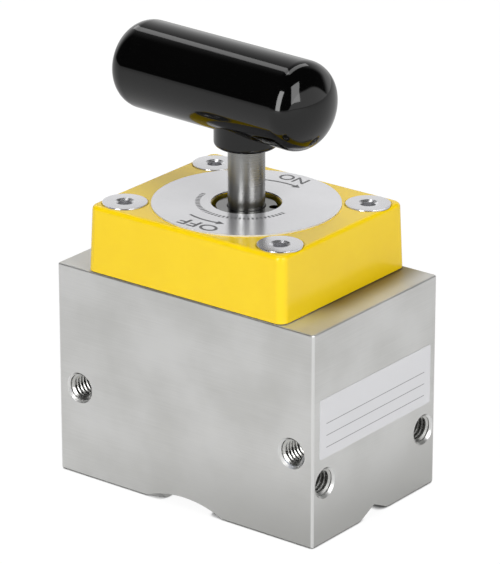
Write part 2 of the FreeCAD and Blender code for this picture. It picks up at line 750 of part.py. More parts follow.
def shaft_bush():
    """Headed bush that guides the shaft, with a seal groove and a notch for a spanner."""
    seat = s.cap_height - s.bush_sink - s.bush_head_height - (s.cap_height - s.cap_ceiling)
    top = seat + s.bush_head_height
    body_radius = s.bush_body_diameter / 2
    head_radius = s.bush_head_diameter / 2
    inner = shaft_radius + s.slip_gap
    seal_radius = inner + s.seal_section + s.slip_gap
    low = s.seal_groove_rise
    high = low + s.seal_section + s.slip_gap * 2
    edge = s.bush_chamfer
    body = turned("shaft_bush", pocket_top, (
        (inner, ZERO), (body_radius, ZERO), (body_radius, seat), (head_radius, seat),
        (head_radius, top - edge), (head_radius - edge, top), (inner, top), (inner, high),
        (seal_radius, high), (seal_radius, low), (inner, low)))
    notch = sketch_on(body, "spanner_circle", "XY_Plane", top)
    reach = head_radius - s.spanner_notch_inset
    x = cosine(s.spanner_notch_angle) * reach
    y = sine(s.spanner_notch_angle) * reach
    circle(notch, x, y, s.spanner_notch_diameter / 2)
    pocket(body, "spanner_notch", notch, s.spanner_notch_depth)
    return body


def shaft_seal():
    """Seal ring in the bush's groove."""
    seal = document.addObject("Part::Torus", "shaft_seal")
    seal.Label = "shaft_seal"
    section = s.seal_section / 2
    bind(seal, "Radius1", shaft_radius + s.slip_gap + section)
    bind(seal, "Radius2", section)
    place(seal, ZERO, ZERO, pocket_top + s.seal_groove_rise + section + s.slip_gap)
    return seal


def lock_ring():
    """Ring over the peg, with a notch only where the handle stands at ON."""
    outer = s.cap_pocket_diameter / 2 - s.slip_gap
    body = ring("lock_ring", lock_ring_base, outer, s.lock_ring_hole / 2, s.lock_ring_thickness)
    notch = sketch_on(body, "notch_outline", "XY_Plane")
    half = s.lock_notch_width / 2
    rectangle(notch, -half, ZERO, half, s.peg_reach + s.running_gap)
    pocket(body, "on_notch", notch, s.lock_ring_thickness * 2, Reversed=True)
    return body


def stop_pin():
    """Pin pressed into the cap that runs in the carrier's arc groove."""
    length = cap_base + s.stop_pin_bite - (carrier_top - s.stop_pin_reach)
    pin = solid_pin("stop_pin", s.stop_pin_diameter / 2, length)
    place(pin, stop_radius, ZERO, carrier_top - s.stop_pin_reach)
    return pin


def drive_shaft():
    """Turned shaft with chamfered ends and holes for the cross pin and the peg."""
    length = shaft_top - shaft_base
    edge = s.shaft_chamfer
    body = turned("drive_shaft", shaft_base, (
        (ZERO, ZERO), (shaft_radius - edge, ZERO), (shaft_radius, edge), (shaft_radius, length - edge),
        (shaft_radius - edge, length), (ZERO, length)))
    pin = sketch_on(body, "cross_pin_circle", "XZ_Plane")
    circle(pin, ZERO, pin_height - shaft_base, pin_radius + s.slip_gap)
    pocket(body, "cross_pin_hole", pin, s.shaft_diameter * 2, Midplane=True)
    peg = sketch_on(body, "peg_circle", "XZ_Plane", shaft_radius)
    circle(peg, ZERO, peg_height - shaft_base, pin_radius + s.slip_gap)
    pocket(body, "peg_hole", peg, s.peg_bite)
    return body


def drive_pin():
    """Cross pin through the shaft, both ends in the tower's slot."""
    pin = solid_pin("drive_pin", pin_radius, s.cross_pin_length)
    pin.Placement.Rotation = FreeCAD.Rotation(FreeCAD.Vector(1, 0, 0), -90)
    place(pin, ZERO, -(s.cross_pin_length / 2), pin_height)
    return pin


def lock_peg():
    """One-sided peg that stands out of the shaft towards the front."""
    length = s.peg_reach - (shaft_radius - s.peg_bite)
    peg = solid_pin("lock_peg", pin_radius, length)
    peg.Placement.Rotation = FreeCAD.Rotation(FreeCAD.Vector(1, 0, 0), -90)
    place(peg, ZERO, -s.peg_reach, peg_height)
    return peg


def release_spring():
    """Compression spring between the carrier's bore and the shaft's foot."""
    wire = s.spring_wire.value / 2
    radius = (spring_bore_radius - s.spring_side_gap).value - wire
    length = (shaft_base - spring_base).value - 2 * wire
    turns = s.spring_turns.value
    coil = Part.makeHelix(length / turns, length, radius)
    start = FreeCAD.Vector(radius, 0, 0)
    section = Part.Wire(Part.makeCircle(wire, start, FreeCAD.Vector(0, 1, 0)))
    spring = document.addObject("Part::Feature", "release_spring")
    spring.Label = "release_spring"
    spring.Shape = Part.Wire(coil.Edges).makePipeShell([section], True, True)
    spring.Placement.Base = FreeCAD.Vector(0, 0, spring_base.value + wire)
    return spring


def handle():
    """Bar with domed ends, longer on one side, with a hub and the insert's pocket."""
    body = new_body("handle", handle_axis)
    bind(body, "Placement.Rotation.Angle", s.handle_set_angle)
    radius = s.handle_diameter / 2
    shoulder = s.handle_shoulder
    dome = radius + s.handle_dome_extra
    offset = dome - shoulder
    rise = radius - shoulder
    run = root(offset * offset - rise * rise)
    section = sketch_on(body, "bar_section", "XZ_Plane")
    ends = []
    for side, reach in ((1, s.handle_short_end), (-1, s.handle_long_end)):
        dome_x = (reach - dome) * side
        shoulder_x = dome_x + run * side
        ends.append({
            "tip": (reach * side, ZERO),
            "join": (dome_x + run / offset * dome * side, rise / offset * dome),
            "top": (shoulder_x, radius),
            "dome": (dome_x, ZERO),
            "shoulder": (shoulder_x, rise)})
    right, left = ends
    straight(section, left["tip"], right["tip"])
    short_arc(section, right["dome"], right["tip"], right["join"])
    short_arc(section, right["shoulder"], right["join"], right["top"])
    straight(section, right["top"], left["top"])
    short_arc(section, left["shoulder"], left["top"], left["join"])
    short_arc(section, left["dome"], left["join"], left["tip"])
    for line in range(6):
        section.addConstraint(Sketcher.Constraint("Coincident", line, 2, (line + 1) % 6, 1))
    fix_point(section, 0, 1, *left["tip"])
    fix_point(section, 0, 2, *right["tip"])
    fix_point(section, 1, 2, *right["join"])
    fix_point(section, 2, 2, *right["top"])
    fix_point(section, 3, 2, *left["top"])
    fix_point(section, 4, 2, *left["join"])
    fix_point(section, 1, 3, y=ZERO)
    fix_point(section, 2, 3, x=right["shoulder"][0])
    fix_point(section, 4, 3, x=left["shoulder"][0])
    fix_point(section, 5, 3, y=ZERO)
    feature(body, "Revolution", "bar", section, ReferenceAxis=(section, ["H_Axis"]), Angle=360)

    foot = sketch_on(body, "hub_circle", "XY_Plane", -s.hub_drop)
    circle(foot, ZERO, ZERO, s.hub_diameter / 2)
    hub = pad(body, "hub", foot, s.hub_drop)
    fillet(body, "hub_foot", hub, edges_of(hub, at_height(-s.hub_drop)), s.hub_round)
    insert = sketch_on(body, "insert_circle", "XY_Plane", -s.hub_drop)
    circle(insert, ZERO, ZERO, s.insert_diameter / 2)
    pocket(body, "insert_pocket", insert, insert_top - hub_foot, Reversed=True)
    return body


def handle_insert():
    """Closed threaded insert that joins handle and shaft."""
    outer = s.insert_diameter / 2 - s.slip_gap
    bore = s.insert_length - s.insert_roof
    return turned("handle_insert", insert_base, (
        (shaft_radius + s.slip_gap, ZERO), (outer, ZERO), (outer, s.insert_length),
        (ZERO, s.insert_length), (ZERO, bore), (shaft_radius + s.slip_gap, bore)))


def side_label():
    """Plain label plate on the right-hand end face."""
    body = new_body("side_label")
    sketch = sketch_on(body, "label_outline", "YZ_Plane", s.block_length / 2)
    low = s.label_centre_height - s.label_height / 2
    rectangle(sketch, s.label_shift - s.label_length / 2, low,
              s.label_shift + s.label_length / 2, low + s.label_height)
    pad(body, "label_sheet", sketch, s.label_thickness)
    return body


def build():
    """Make every piece and return them in assembly order."""
    fitted = fitted_radius
    washer_outer = liner_inner_radius - s.locating_gap
    return [
        steel_block(),
        disc("floor_pad", pad_base, fitted, s.pad_thickness),
        lower_magnet(),
        magnet_keys(),
        disc("separator_disc", separator_base, fitted, s.separator_thickness),
        ring("bore_liner", liner_base, fitted, liner_inner_radius, liner_top - liner_base),
        upper_magnet(),
        rotor_carrier(),
        ring("thrust_washer", washer_base, washer_outer, washer_outer - s.washer_width, s.washer_thickness),
        cap_gasket(),
        cap(),
        cap_screws(),
        ring("dial_plate", cap_top, s.dial_diameter / 2, s.dial_hole / 2, s.dial_thickness),
        shaft_bush(),
        shaft_seal(),
        lock_ring(),
        stop_pin(),
        drive_shaft(),
        drive_pin(),
        lock_peg(),
        release_spring(),
        handle(),
        handle_insert(),
        side_label(),
    ]


pieces = build()
document.recompute()

for item in document.Objects:
    if "Invalid" in item.State or "Error" in item.State:
        raise RuntimeError("%s did not build: %s" % (item.Name, item.State))
for piece in pieces:
    if piece.Shape.isNull() or not piece.Shape.isValid():
        raise RuntimeError("%s has no valid shape" % piece.Label)

os.makedirs("parts", exist_ok=True)
for piece in pieces:
    piece.Shape.exportStep("parts/%s.step" % piece.Label)
    box = piece.Shape.BoundBox
    print("%-15s solids %d  volume %9.1f  z %6.2f to %6.2f" % (
        piece.Label, len(piece.Shape.Solids), piece.Shape.Volume, box.ZMin, box.ZMax))
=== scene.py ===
"""Dressed model of a switchable magnetic welding square.

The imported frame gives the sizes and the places. The script models the pieces that show, and the
release spring, gives each piece and each inner part its finish, and sets up the studio and the camera.
"""

import json
import logging
import math
from contextlib import contextmanager
from dataclasses import dataclass
from enum import Enum
from typing import Callable, Iterator, Sequence

import bmesh
import bpy
from mathutils import Matrix, Vector

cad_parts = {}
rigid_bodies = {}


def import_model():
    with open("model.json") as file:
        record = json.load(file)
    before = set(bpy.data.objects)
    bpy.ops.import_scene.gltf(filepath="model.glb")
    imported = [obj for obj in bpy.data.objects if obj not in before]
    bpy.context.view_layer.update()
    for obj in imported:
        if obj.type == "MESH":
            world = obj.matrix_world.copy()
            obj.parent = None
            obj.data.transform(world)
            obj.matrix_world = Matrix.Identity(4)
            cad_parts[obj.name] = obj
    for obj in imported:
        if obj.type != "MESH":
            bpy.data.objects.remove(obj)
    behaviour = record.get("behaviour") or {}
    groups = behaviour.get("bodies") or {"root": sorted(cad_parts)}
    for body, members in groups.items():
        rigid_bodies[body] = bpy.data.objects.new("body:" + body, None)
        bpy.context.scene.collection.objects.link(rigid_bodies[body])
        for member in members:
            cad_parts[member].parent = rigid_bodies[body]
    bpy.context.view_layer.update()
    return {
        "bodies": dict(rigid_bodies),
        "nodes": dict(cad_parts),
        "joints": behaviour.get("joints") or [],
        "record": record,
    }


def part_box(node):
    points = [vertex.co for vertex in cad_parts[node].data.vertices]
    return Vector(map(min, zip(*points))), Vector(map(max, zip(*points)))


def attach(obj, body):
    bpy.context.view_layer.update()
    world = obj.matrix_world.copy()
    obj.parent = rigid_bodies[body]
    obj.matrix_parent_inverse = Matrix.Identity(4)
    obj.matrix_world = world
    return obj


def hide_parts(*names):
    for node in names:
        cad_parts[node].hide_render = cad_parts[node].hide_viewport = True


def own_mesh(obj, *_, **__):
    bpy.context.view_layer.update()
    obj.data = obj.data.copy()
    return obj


MM = 0.001
OVERLAP = 1.0 * MM
NEAR = 0.01 * MM
SAME_POINT = 0.001 * MM
UP = Vector((0, 0, 1))
FACING_UP = (0.6, 0.8)
log = logging.getLogger("welding_square")


class Body(Enum):
    """Bodies of the frame that carry modelled pieces."""

    HOUSING = "housing"
    KNOB = "knob"


class Pick(Enum):
    """What a selection is made of: the select mode and the list that holds it."""

    POINTS = ("VERT", "verts")
    EDGES = ("EDGE", "edges")
    FACES = ("FACE", "faces")


class Pattern(Enum):
    """How a surface was made, which sets the direction of its fine marks."""

    GROUND = "straight lines along each face"
    TURNED = "rings about the piece's own upright axis"
    MOULDED = "soft pebbles with no direction"


# Bench tools


class Workpiece:
    """A mesh on the bench: started from a primitive, shaped in edit mode, finished with modifiers."""

    def __init__(self, name: str) -> None:
        """Take the object that was just added and fix its place in its mesh.

        Args:
            name: the piece's name.
        """
        self.thing = bpy.context.active_object
        self.thing.name = name
        self.thing.data.name = name
        bpy.ops.object.transform_apply(location=True, rotation=True, scale=True)

    @classmethod
    def box(cls, name: str, low: Vector, high: Vector) -> "Workpiece":
        """Start from a cube stretched between two corners.

        Args:
            name: the piece's name.
            low: its lowest corner.
            high: its highest corner.

        Returns:
            The new piece.
        """
        bpy.ops.object.select_all(action="DESELECT")
        bpy.ops.mesh.primitive_cube_add(size=1, location=(low + high) / 2)
        bpy.context.active_object.scale = high - low
        return cls(name)

    @classmethod
    def drum(cls, name: str, foot: Vector, axis: Vector, radius: float, length: float,
             sides: int = 64) -> "Workpiece":
        """Start from a cylinder that stands on a point and runs along an axis.

        Args:
            name: the piece's name.
            foot: middle of its first end.
            axis: the direction that it runs in.
            radius: its radius.
            length: its length.
            sides: flats round it.

        Returns:
            The new piece.
        """
        bpy.ops.object.select_all(action="DESELECT")
        turn = UP.rotation_difference(axis).to_euler()
        bpy.ops.mesh.primitive_cylinder_add(vertices=sides, radius=radius, depth=length,
                                            location=foot + axis * length / 2, rotation=turn)
        return cls(name)

    @classmethod
    def turned(cls, name: str, profile: Sequence[tuple[float, float]], sides: int = 96,
               hollow: bool = False) -> "Workpiece":
        """Turn a profile about Z: a circle is extruded and resized from point to point.

        Args:
            name: the piece's name.
            profile: (radius, height) points. A solid piece starts and ends in a flat disc, and a hollow
                one comes back to its first point.
            sides: flats round it.
            hollow: whether the profile is a closed ring.

        Returns:
            The new piece.
        """
        bpy.ops.object.select_all(action="DESELECT")
        fill = "NOTHING" if hollow else "NGON"
        bpy.ops.mesh.primitive_circle_add(vertices=sides, radius=profile[0][0], fill_type=fill,
                                          location=UP * profile[0][1])
        piece = cls(name)
        points = list(profile)
        if hollow:
            points.append(profile[0])
        with piece.edit_mode():
            bpy.ops.mesh.select_all(action="SELECT")
            for (radius, height), (next_radius, next_height) in zip(points, points[1:]):
                rise = (0, 0, next_height - height)
                ratio = next_radius / radius
                bpy.ops.mesh.extrude_region_move(TRANSFORM_OT_translate={"value": rise})
                bpy.ops.transform.resize(value=(ratio, ratio, 1), center_override=UP * next_height)
        piece.close_up()
        return piece

    @contextmanager
    def edit_mode(self) -> Iterator[None]:
        """Work on this piece alone in edit mode."""
        self.activate()
        bpy.ops.object.mode_set(mode="EDIT")
        yield
        bpy.ops.object.mode_set(mode="OBJECT")

    def activate(self) -> None:
        """Select this piece and nothing else."""
        bpy.ops.object.select_all(action="DESELECT")
        self.thing.select_set(True)
        bpy.context.view_layer.objects.active = self.thing

    def pick(self, kind: Pick, wanted: Callable) -> None:
        """Select what passes a test, in edit mode.

        Args:
            kind: points, edges or faces.
            wanted: says whether a point, edge or face is selected.
        """
        mode, items = kind.value
        bpy.ops.mesh.select_mode(type=mode)
        bpy.ops.mesh.select_all(action="DESELECT")
        shape = bmesh.from_edit_mesh(self.thing.data)
        for item in getattr(shape, items):
            item.select_set(bool(wanted(item)))
        shape.select_flush_mode()
        bmesh.update_edit_mesh(self.thing.data)

    def round_edges(self, wanted: Callable, size: float, rounds: int) -> None:
        """Bevel the edges that pass a test.

        Args:
            wanted: says whether an edge is bevelled.
            size: width taken off each side.
            rounds: strips in the bevel, 1 for a flat chamfer.
        """
        with self.edit_mode():
            self.pick(Pick.EDGES, wanted)
            bpy.ops.mesh.bevel(offset=size, segments=rounds, profile=0.5, affect="EDGES")

    def close_up(self) -> None:
        """Merge doubled points and turn every face outwards."""
        with self.edit_mode():
            bpy.ops.mesh.select_all(action="SELECT")
            bpy.ops.mesh.remove_doubles(threshold=SAME_POINT)
            bpy.ops.mesh.select_all(action="SELECT")
            bpy.ops.mesh.normals_make_consistent(inside=False)

    def combine(self, tool: "Workpiece", operation: str) -> None:
        """Cut another piece out of this one, or weld it on, and use it up.

        Args:
            tool: the other piece.
            operation: DIFFERENCE or UNION.
        """
        self.activate()
        boolean = self.thing.modifiers.new("combine", "BOOLEAN")
        boolean.operation = operation
        boolean.solver = "EXACT"
        boolean.object = tool.thing
        bpy.ops.object.modifier_apply(modifier=boolean.name)
        bpy.data.objects.remove(tool.thing)

    def cut(self, *tools: "Workpiece") -> None:
        """Cut pieces out of this one, one after another."""
        for tool in tools:
            self.combine(tool, "DIFFERENCE")

    def weld(self, tool: "Workpiece") -> None:
        """Weld another piece onto this one."""
        self.combine(tool, "UNION")

    def coil_up(self, pitch: float, turns: int, steps: int) -> None:
        """Sweep a closed outline up a helix about Z with the Screw modifier and close both ends.

        Args:
            pitch: rise of one turn.
            turns: how many turns.
            steps: how many steps one turn has.
        """
        sides = len(self.thing.data.vertices)
        self.activate()
        helix = self.thing.modifiers.new("helix", "SCREW")
        helix.axis = "Z"
        helix.screw_offset = pitch
        helix.iterations = turns
        helix.steps = steps
        helix.render_steps = steps
        bpy.ops.object.modifier_apply(modifier=helix.name)
        with self.edit_mode():
            bpy.ops.mesh.select_all(action="SELECT")
            bpy.ops.mesh.fill_holes(sides=sides)
        self.close_up()

    def smooth(self, angle: float = 32.0) -> None:
        """Shade the round faces smooth and keep the flat ones flat.

        Args:
            angle: edges sharper than this stay sharp, in degrees.
        """
        self.activate()
        bpy.ops.object.shade_smooth_by_angle(angle=math.radians(angle))
        weighted = self.thing.modifiers.new("flats", "WEIGHTED_NORMAL")
        weighted.keep_sharp = True
        bpy.ops.object.modifier_apply(modifier=weighted.name)

    def move(self, place: Matrix) -> None:
        """Move this piece and fix its new place in its mesh.

        Args:
            place: where it goes, seen from where it was modelled.
        """
        self.thing.matrix_world = place
        self.activate()
        bpy.ops.object.transform_apply(location=True, rotation=True, scale=True)

    def copy_to(self, name: str, place: Matrix) -> "Workpiece":
        """Copy this piece with a mesh of its own.

        Args:
            name: the copy's name.
            place: where the copy goes, seen from this piece.

        Returns:
            The copy.
        """
        self.activate()
        bpy.ops.object.duplicate(linked=False)
        bpy.context.active_object.matrix_world = place
        return Workpiece(name)


# Shader tools


class Signal:
    """A number inside a shader. Arithmetic on it adds Math nodes."""

    def __init__(self, graph: "Graph", socket: bpy.types.NodeSocket) -> None:
        """Wrap an output socket of a graph."""
        self.graph = graph
        self.socket = socket

    def math(self, operation: str, *values: "Signal | float") -> "Signal":
        """Add one Math node.

        Args:
            operation: the node's operation.
            values: its inputs in order.

        Returns:
            Its result.
        """
        return self.graph.first("ShaderNodeMath", {"operation": operation}, dict(enumerate(values)))

    def __add__(self, other: "Signal | float") -> "Signal":
        """self + other."""
        return self.math("ADD", self, other)

    __radd__ = __add__

    def __sub__(self, other: "Signal | float") -> "Signal":
        """self - other."""
        return self.math("SUBTRACT", self, other)

    def __rsub__(self, other: "Signal | float") -> "Signal":
        """other - self."""
        return self.math("SUBTRACT", other, self)

    def __mul__(self, other: "Signal | float") -> "Signal":
        """self * other."""
        return self.math("MULTIPLY", self, other)

    __rmul__ = __mul__

    def __truediv__(self, other: "Signal | float") -> "Signal":
        """self / other."""
        return self.math("DIVIDE", self, other)

    def __pow__(self, other: "Signal | float") -> "Signal":
        """self ** other."""
        return self.math("POWER", self, other)

    def __abs__(self) -> "Signal":
        """abs(self)."""
        return self.math("ABSOLUTE", self)

    def or_more(self, other: "Signal | float") -> "Signal":
        """The larger of two numbers."""
        return self.math("MAXIMUM", self, other)

    def ramp(self, low: float, high: float) -> "Signal":
        """Rise smoothly from 0 at low to 1 at high."""
        settings = {"interpolation_type": "SMOOTHSTEP"}
        inputs = {"Value": self, "From Min": low, "From Max": high}
        return self.graph.first("ShaderNodeMapRange", settings, inputs)


class Graph:
    """A shader's node tree, built from Python expressions."""

    def __init__(self, tree: bpy.types.NodeTree) -> None:
        """Start with an empty tree."""
        self.tree = tree
        self.tree.nodes.clear()

    def node(self, kind: str, settings: dict, inputs: dict) -> bpy.types.Node:
        """Add a node.

        Args:
            kind: the node's type.
            settings: its properties, which are set first.
            inputs: values or links of its sockets, by name or number.

        Returns:
            The node.
        """
        made = self.tree.nodes.new(kind)
        for name, value in settings.items():
            setattr(made, name, value)
        for key, value in inputs.items():
            if isinstance(value, Signal):
                value = value.socket
            if isinstance(value, bpy.types.NodeSocket):
                self.tree.links.new(value, made.inputs[key])
            else:
                made.inputs[key].default_value = value
        return made

    def first(self, kind: str, settings: dict, inputs: dict) -> Signal:
        """Add a node and take its first output."""
        return Signal(self, self.node(kind, settings, inputs).outputs[0])

    def place(self) -> Signal:
        """The place on the piece, in metres."""
        return Signal(self, self.node("ShaderNodeTexCoord", {}, {}).outputs["Object"])

    def parts(self, vector: Signal) -> tuple[Signal, Signal, Signal]:
        """Split a vector into x, y and z."""
        split = self.node("ShaderNodeSeparateXYZ", {}, {0: vector})
        return tuple(Signal(self, output) for output in split.outputs)

    def vector(self, x: Signal | float, y: Signal | float, z: Signal | float) -> Signal:
        """Join x, y and z into a vector."""
        return self.first("ShaderNodeCombineXYZ", {}, {0: x, 1: y, 2: z})

    def facing(self) -> tuple[Signal, Signal, Signal]:
        """The way that the surface faces, as x, y and z."""
        return self.parts(Signal(self, self.node("ShaderNodeTexCoord", {}, {}).outputs["Normal"]))

    def noise(self, vector: Signal, scale: float, detail: float = 2.0) -> Signal:
        """Cloudy noise between 0 and 1.

        Args:
            vector: where it is read.
            scale: clouds per unit of that vector.
            detail: finer layers on top.

        Returns:
            The noise.
        """
        return self.first("ShaderNodeTexNoise", {}, {"Vector": vector, "Scale": scale, "Detail": detail})

    def blend(self, factor: Signal, first: Sequence[float] | Signal,
              second: Sequence[float] | Signal) -> Signal:
        """Mix two colours.

        Args:
            factor: 0 for the first colour, 1 for the second.
            first: a colour.
            second: another colour.

        Returns:
            The mixed colour.
        """
        mix = self.node("ShaderNodeMix", {"data_type": "RGBA"}, {0: factor, 6: first, 7: second})
        return Signal(self, mix.outputs[2])

    def bump(self, height: Signal, depth: float) -> Signal:
        """Turn a height into a bent normal.

        Args:
            height: 0 to 1.
            depth: how deep a height of 1 is, in metres.

        Returns:
            The normal.
        """
        return self.first("ShaderNodeBump", {}, {"Height": height, "Distance": depth})

    def surface(self, inputs: dict) -> None:
        """Add the surface shader and the output."""
        shader = self.node("ShaderNodeBsdfPrincipled", {}, inputs)
        self.node("ShaderNodeOutputMaterial", {}, {"Surface": shader.outputs[0]})


def colour(red: float, green: float, blue: float) -> tuple[float, float, float, float]:
    """Turn a colour as it is seen on a screen into light.

    Args:
        red: 0 to 1.
        green: 0 to 1.
        blue: 0 to 1.

    Returns:
        The same colour for a shader's socket.
    """
    def light(level: float) -> float:
        """One channel as light."""
        if level <= 0.04045:
            return level / 12.92
        return ((level + 0.055) / 1.055) ** 2.4

    return light(red), light(green), light(blue), 1.0


# Finishes


@dataclass(frozen=True)
class Finish:
    """A finish with soft clouds of tone and fine marks from the way that it was made."""

    name: str
    tone: tuple[float, float, float]
    second_tone: tuple[float, float, float]
    metallic: float
    roughness: float
    roughness_spread: float
    pattern: Pattern
    mark_size: float
    mark_depth: float
    slot: str = ""
    cloud_size: float = 12.0 * MM
    cloud_share: float = 0.8
    cloud_ends: tuple[float, float] = (0.3, 0.7)
    mark_stretch: float = 0.02
    layers: float = 3.0
    centre: tuple[float, float] = (0.0, 0.0)

    def marks(self, graph: Graph) -> Signal:
        """The fine marks that the making left, between 0 and 1."""
        place = graph.place()
        if self.pattern is Pattern.MOULDED:
            return graph.noise(place, 1 / self.mark_size)
        x, y, z = graph.parts(place)
        if self.pattern is Pattern.TURNED:
            across = abs(x) - self.centre[0]
            along = abs(y) - self.centre[1]
            radius = (across * across + along * along) ** 0.5
            return graph.noise(graph.vector(radius, 0.0, z), 1 / self.mark_size)
        stretch = self.mark_stretch
        upright = graph.noise(graph.vector(x * stretch, y * stretch, z), 1 / self.mark_size, self.layers)
        level = graph.noise(graph.vector(x * stretch, y, z * stretch), 1 / self.mark_size, self.layers)
        on_top = abs(graph.facing()[2]).ramp(*FACING_UP)
        return level * on_top + upright * (1 - on_top)

    def tint(self, graph: Graph, mottle: Signal) -> Signal:
        """The colour over the surface."""
        return graph.blend(mottle, colour(*self.tone), colour(*self.second_tone))

    def dullness(self, graph: Graph) -> Signal | float:
        """The roughness without its small changes."""
        return self.roughness

    def material(self) -> bpy.types.Material:
        """Build the finish.

        Returns:
            The material.
        """
        made = bpy.data.materials.new(self.name)
        made.use_nodes = True
        graph = Graph(made.node_tree)
        marks = self.marks(graph)
        clouds = graph.noise(graph.place(), 1 / self.cloud_size, self.layers)
        mottle = (clouds * self.cloud_share + marks * (1 - self.cloud_share)).ramp(*self.cloud_ends)
        rough = (mottle + marks - 1) * self.roughness_spread + self.dullness(graph)
        graph.surface({
            "Base Color": self.tint(graph, mottle),
            "Metallic": self.metallic,
            "Roughness": rough,
            "Normal": graph.bump(marks, self.mark_depth),
        })
        return made


@dataclass(frozen=True)
class BlockSteel(Finish):
    """Ground steel of the block: duller on top, with painted shade low down and on the undersides, painted
    shade and a painted reflection of the cap on the top next to the cap's foot, fading to a painted
    highlight towards the front, and a lighter tone on the chamfers.
    """

    top_dullness: float = 0.28
    # Painted shade low down: the colour darkens towards the base, more so towards the right-hand end.
    low_shade_tone: tuple[float, float, float] = (0.735, 0.735, 0.725)
    low_shade_height: float = 21.0 * MM
    low_shade_ends: tuple[float, float] = (-32.0 * MM, 30.0 * MM)
    # Painted shade on the faces that look downwards.
    underside_shade_tone: tuple[float, float, float] = (0.36, 0.36, 0.35)
    underside_shade_ends: tuple[float, float] = (0.1, 0.5)
    # Painted shade and a painted reflection of the yellow cap on the top next to the cap's foot, fading to
    # a painted highlight towards the front edge.
    cap_shade_reflection_tone: tuple[float, float, float] = (0.61, 0.56, 0.42)
    painted_highlight_tone: tuple[float, float, float] = (0.93, 0.95, 1.0)
    cap_shade_ends: tuple[float, float] = (26.6 * MM, 33.5 * MM)
    highlight_to_shade_span: tuple[float, float] = (-20.0 * MM, -3.0 * MM)
    # A lighter tone on the chamfered corners.
    chamfer_tone: tuple[float, float, float] = (0.91, 0.91, 0.905)
    chamfer_ends: tuple[float, float] = (0.05, 0.3)

    def tint(self, graph: Graph, mottle: Signal) -> Signal:
        """The colour over the surface."""
        x, y, z = graph.parts(graph.place())
        facing_x, facing_y, facing_z = graph.facing()
        # Painted shade towards the base, more so towards the right-hand end.
        low = (1 - z.ramp(0.0, self.low_shade_height)) * x.ramp(*self.low_shade_ends)
        # Painted shade and painted reflection of the cap on the top next to its foot, fading to a painted
        # highlight towards the front.
        cap_foot_shade_mask = x.ramp(0.0, self.cap_shade_ends[0]) * (1 - x.ramp(*self.cap_shade_ends))
        foot = graph.blend(y.ramp(*self.highlight_to_shade_span), colour(*self.painted_highlight_tone), colour(*self.cap_shade_reflection_tone))
        shade = graph.blend(low, super().tint(graph, mottle), colour(*self.low_shade_tone))
        # Painted shade on the undersides.
        shade = graph.blend((0 - facing_z).ramp(*self.underside_shade_ends), shade, colour(*self.underside_shade_tone))
        # Lay the painted shade, reflection and highlight on the top faces next to the cap's foot.
        shade = graph.blend(cap_foot_shade_mask * facing_z.ramp(*FACING_UP), shade, foot)
        # Lighter tone where the surface faces both along and across: the chamfered corners.
        return graph.blend(abs(facing_x * facing_y).ramp(*self.chamfer_ends), shade, colour(*self.chamfer_tone))

    def dullness(self, graph: Graph) -> Signal | float:
        """The roughness without its small changes."""
        return graph.facing()[2].ramp(*FACING_UP) * self.top_dullness + self.roughness


@dataclass(frozen=True)
class DialPlate(Finish):
    """Satin plate whose cut edge is dull."""

    edge_dullness: float = 0.5
    edge_ends: tuple[float, float] = (0.3, 0.7)

    def dullness(self, graph: Graph) -> Signal | float:
        """The roughness without its small changes."""
        return (1 - graph.facing()[2].ramp(*self.edge_ends)) * self.edge_dullness + self.roughness


@dataclass(frozen=True)
class CapPaint(Finish):
    """Gloss paint with painted shade on the wall of the bush's seat."""

    seat_radius: float = 8.2 * MM
    seat_top: float = 63.3 * MM
    # Painted shade on the seat's wall, below its rim.
    seat_shade_tone: tuple[float, float, float] = (0.50, 0.44, 0.06)
    seat_wall_fade: float = 0.2 * MM
    seat_rim_fade: float = 0.1 * MM

    def tint(self, graph: Graph, mottle: Signal) -> Signal:
        """The colour over the surface."""
        x, y, z = graph.parts(graph.place())
        radius = (x * x + y * y) ** 0.5
        inside = (self.seat_radius - radius).ramp(0.0, self.seat_wall_fade)
        below = (self.seat_top - z).ramp(0.0, self.seat_rim_fade)
        # Painted shade in the seat of the bush.
        return graph.blend(inside * below, super().tint(graph, mottle), colour(*self.seat_shade_tone))


@dataclass(frozen=True)
class HandlePlastic(Finish):
    """Polished plastic with a matt hub."""

    hub_top: float = 79.2 * MM
    hub_dullness: float = 0.06
    hub_fade: float = 0.8 * MM

    def dullness(self, graph: Graph) -> Signal | float:
        """The roughness without its small changes."""
        height = graph.parts(graph.place())[2]
        return (self.hub_top - height).ramp(0.0, self.hub_fade) * self.hub_dullness + self.roughness


@dataclass(frozen=True)
class LabelFilm:
    """Off-white satin film, blank but for three ruled lines to write on."""

    name: str = "label_film"
    slot: str = ""
    tone: tuple[float, float, float] = (0.855, 0.855, 0.865)
    line_tone: tuple[float, float, float] = (0.50, 0.50, 0.52)
    line_height: float = 21.9 * MM
    line_pitch: float = 2.7 * MM
    line_count: int = 3
    line_width: float = 0.16 * MM
    line_half_length: float = 17.6 * MM
    centre: float = 0.1 * MM
    roughness: float = 0.42
    roughness_spread: float = 0.1
    grain_size: float = 0.4 * MM
    grain_depth: float = 0.004 * MM

    def material(self) -> bpy.types.Material:
        """Build the finish.

        Returns:
            The material.
        """
        made = bpy.data.materials.new(self.name)
        made.use_nodes = True
        graph = Graph(made.node_tree)
        place = graph.place()
        _, across, height = graph.parts(place)
        soft = self.line_width / 3
        lines = None
        for row in range(self.line_count):
            off = abs(height - (self.line_height + row * self.line_pitch))
            line = 1 - off.ramp(self.line_width / 2 - soft / 2, self.line_width / 2 + soft / 2)
            lines = line if lines is None else lines.or_more(line)
        inside = 1 - abs(across - self.centre).ramp(self.line_half_length - soft, self.line_half_length)
        grain = graph.noise(place, 1 / self.grain_size)
        graph.surface({
            "Base Color": graph.blend(lines * inside, colour(*self.tone), colour(*self.line_tone)),
            "Roughness": self.roughness + (grain - 0.5) * self.roughness_spread,
            "Normal": graph.bump(grain, self.grain_depth),
        })
        return made


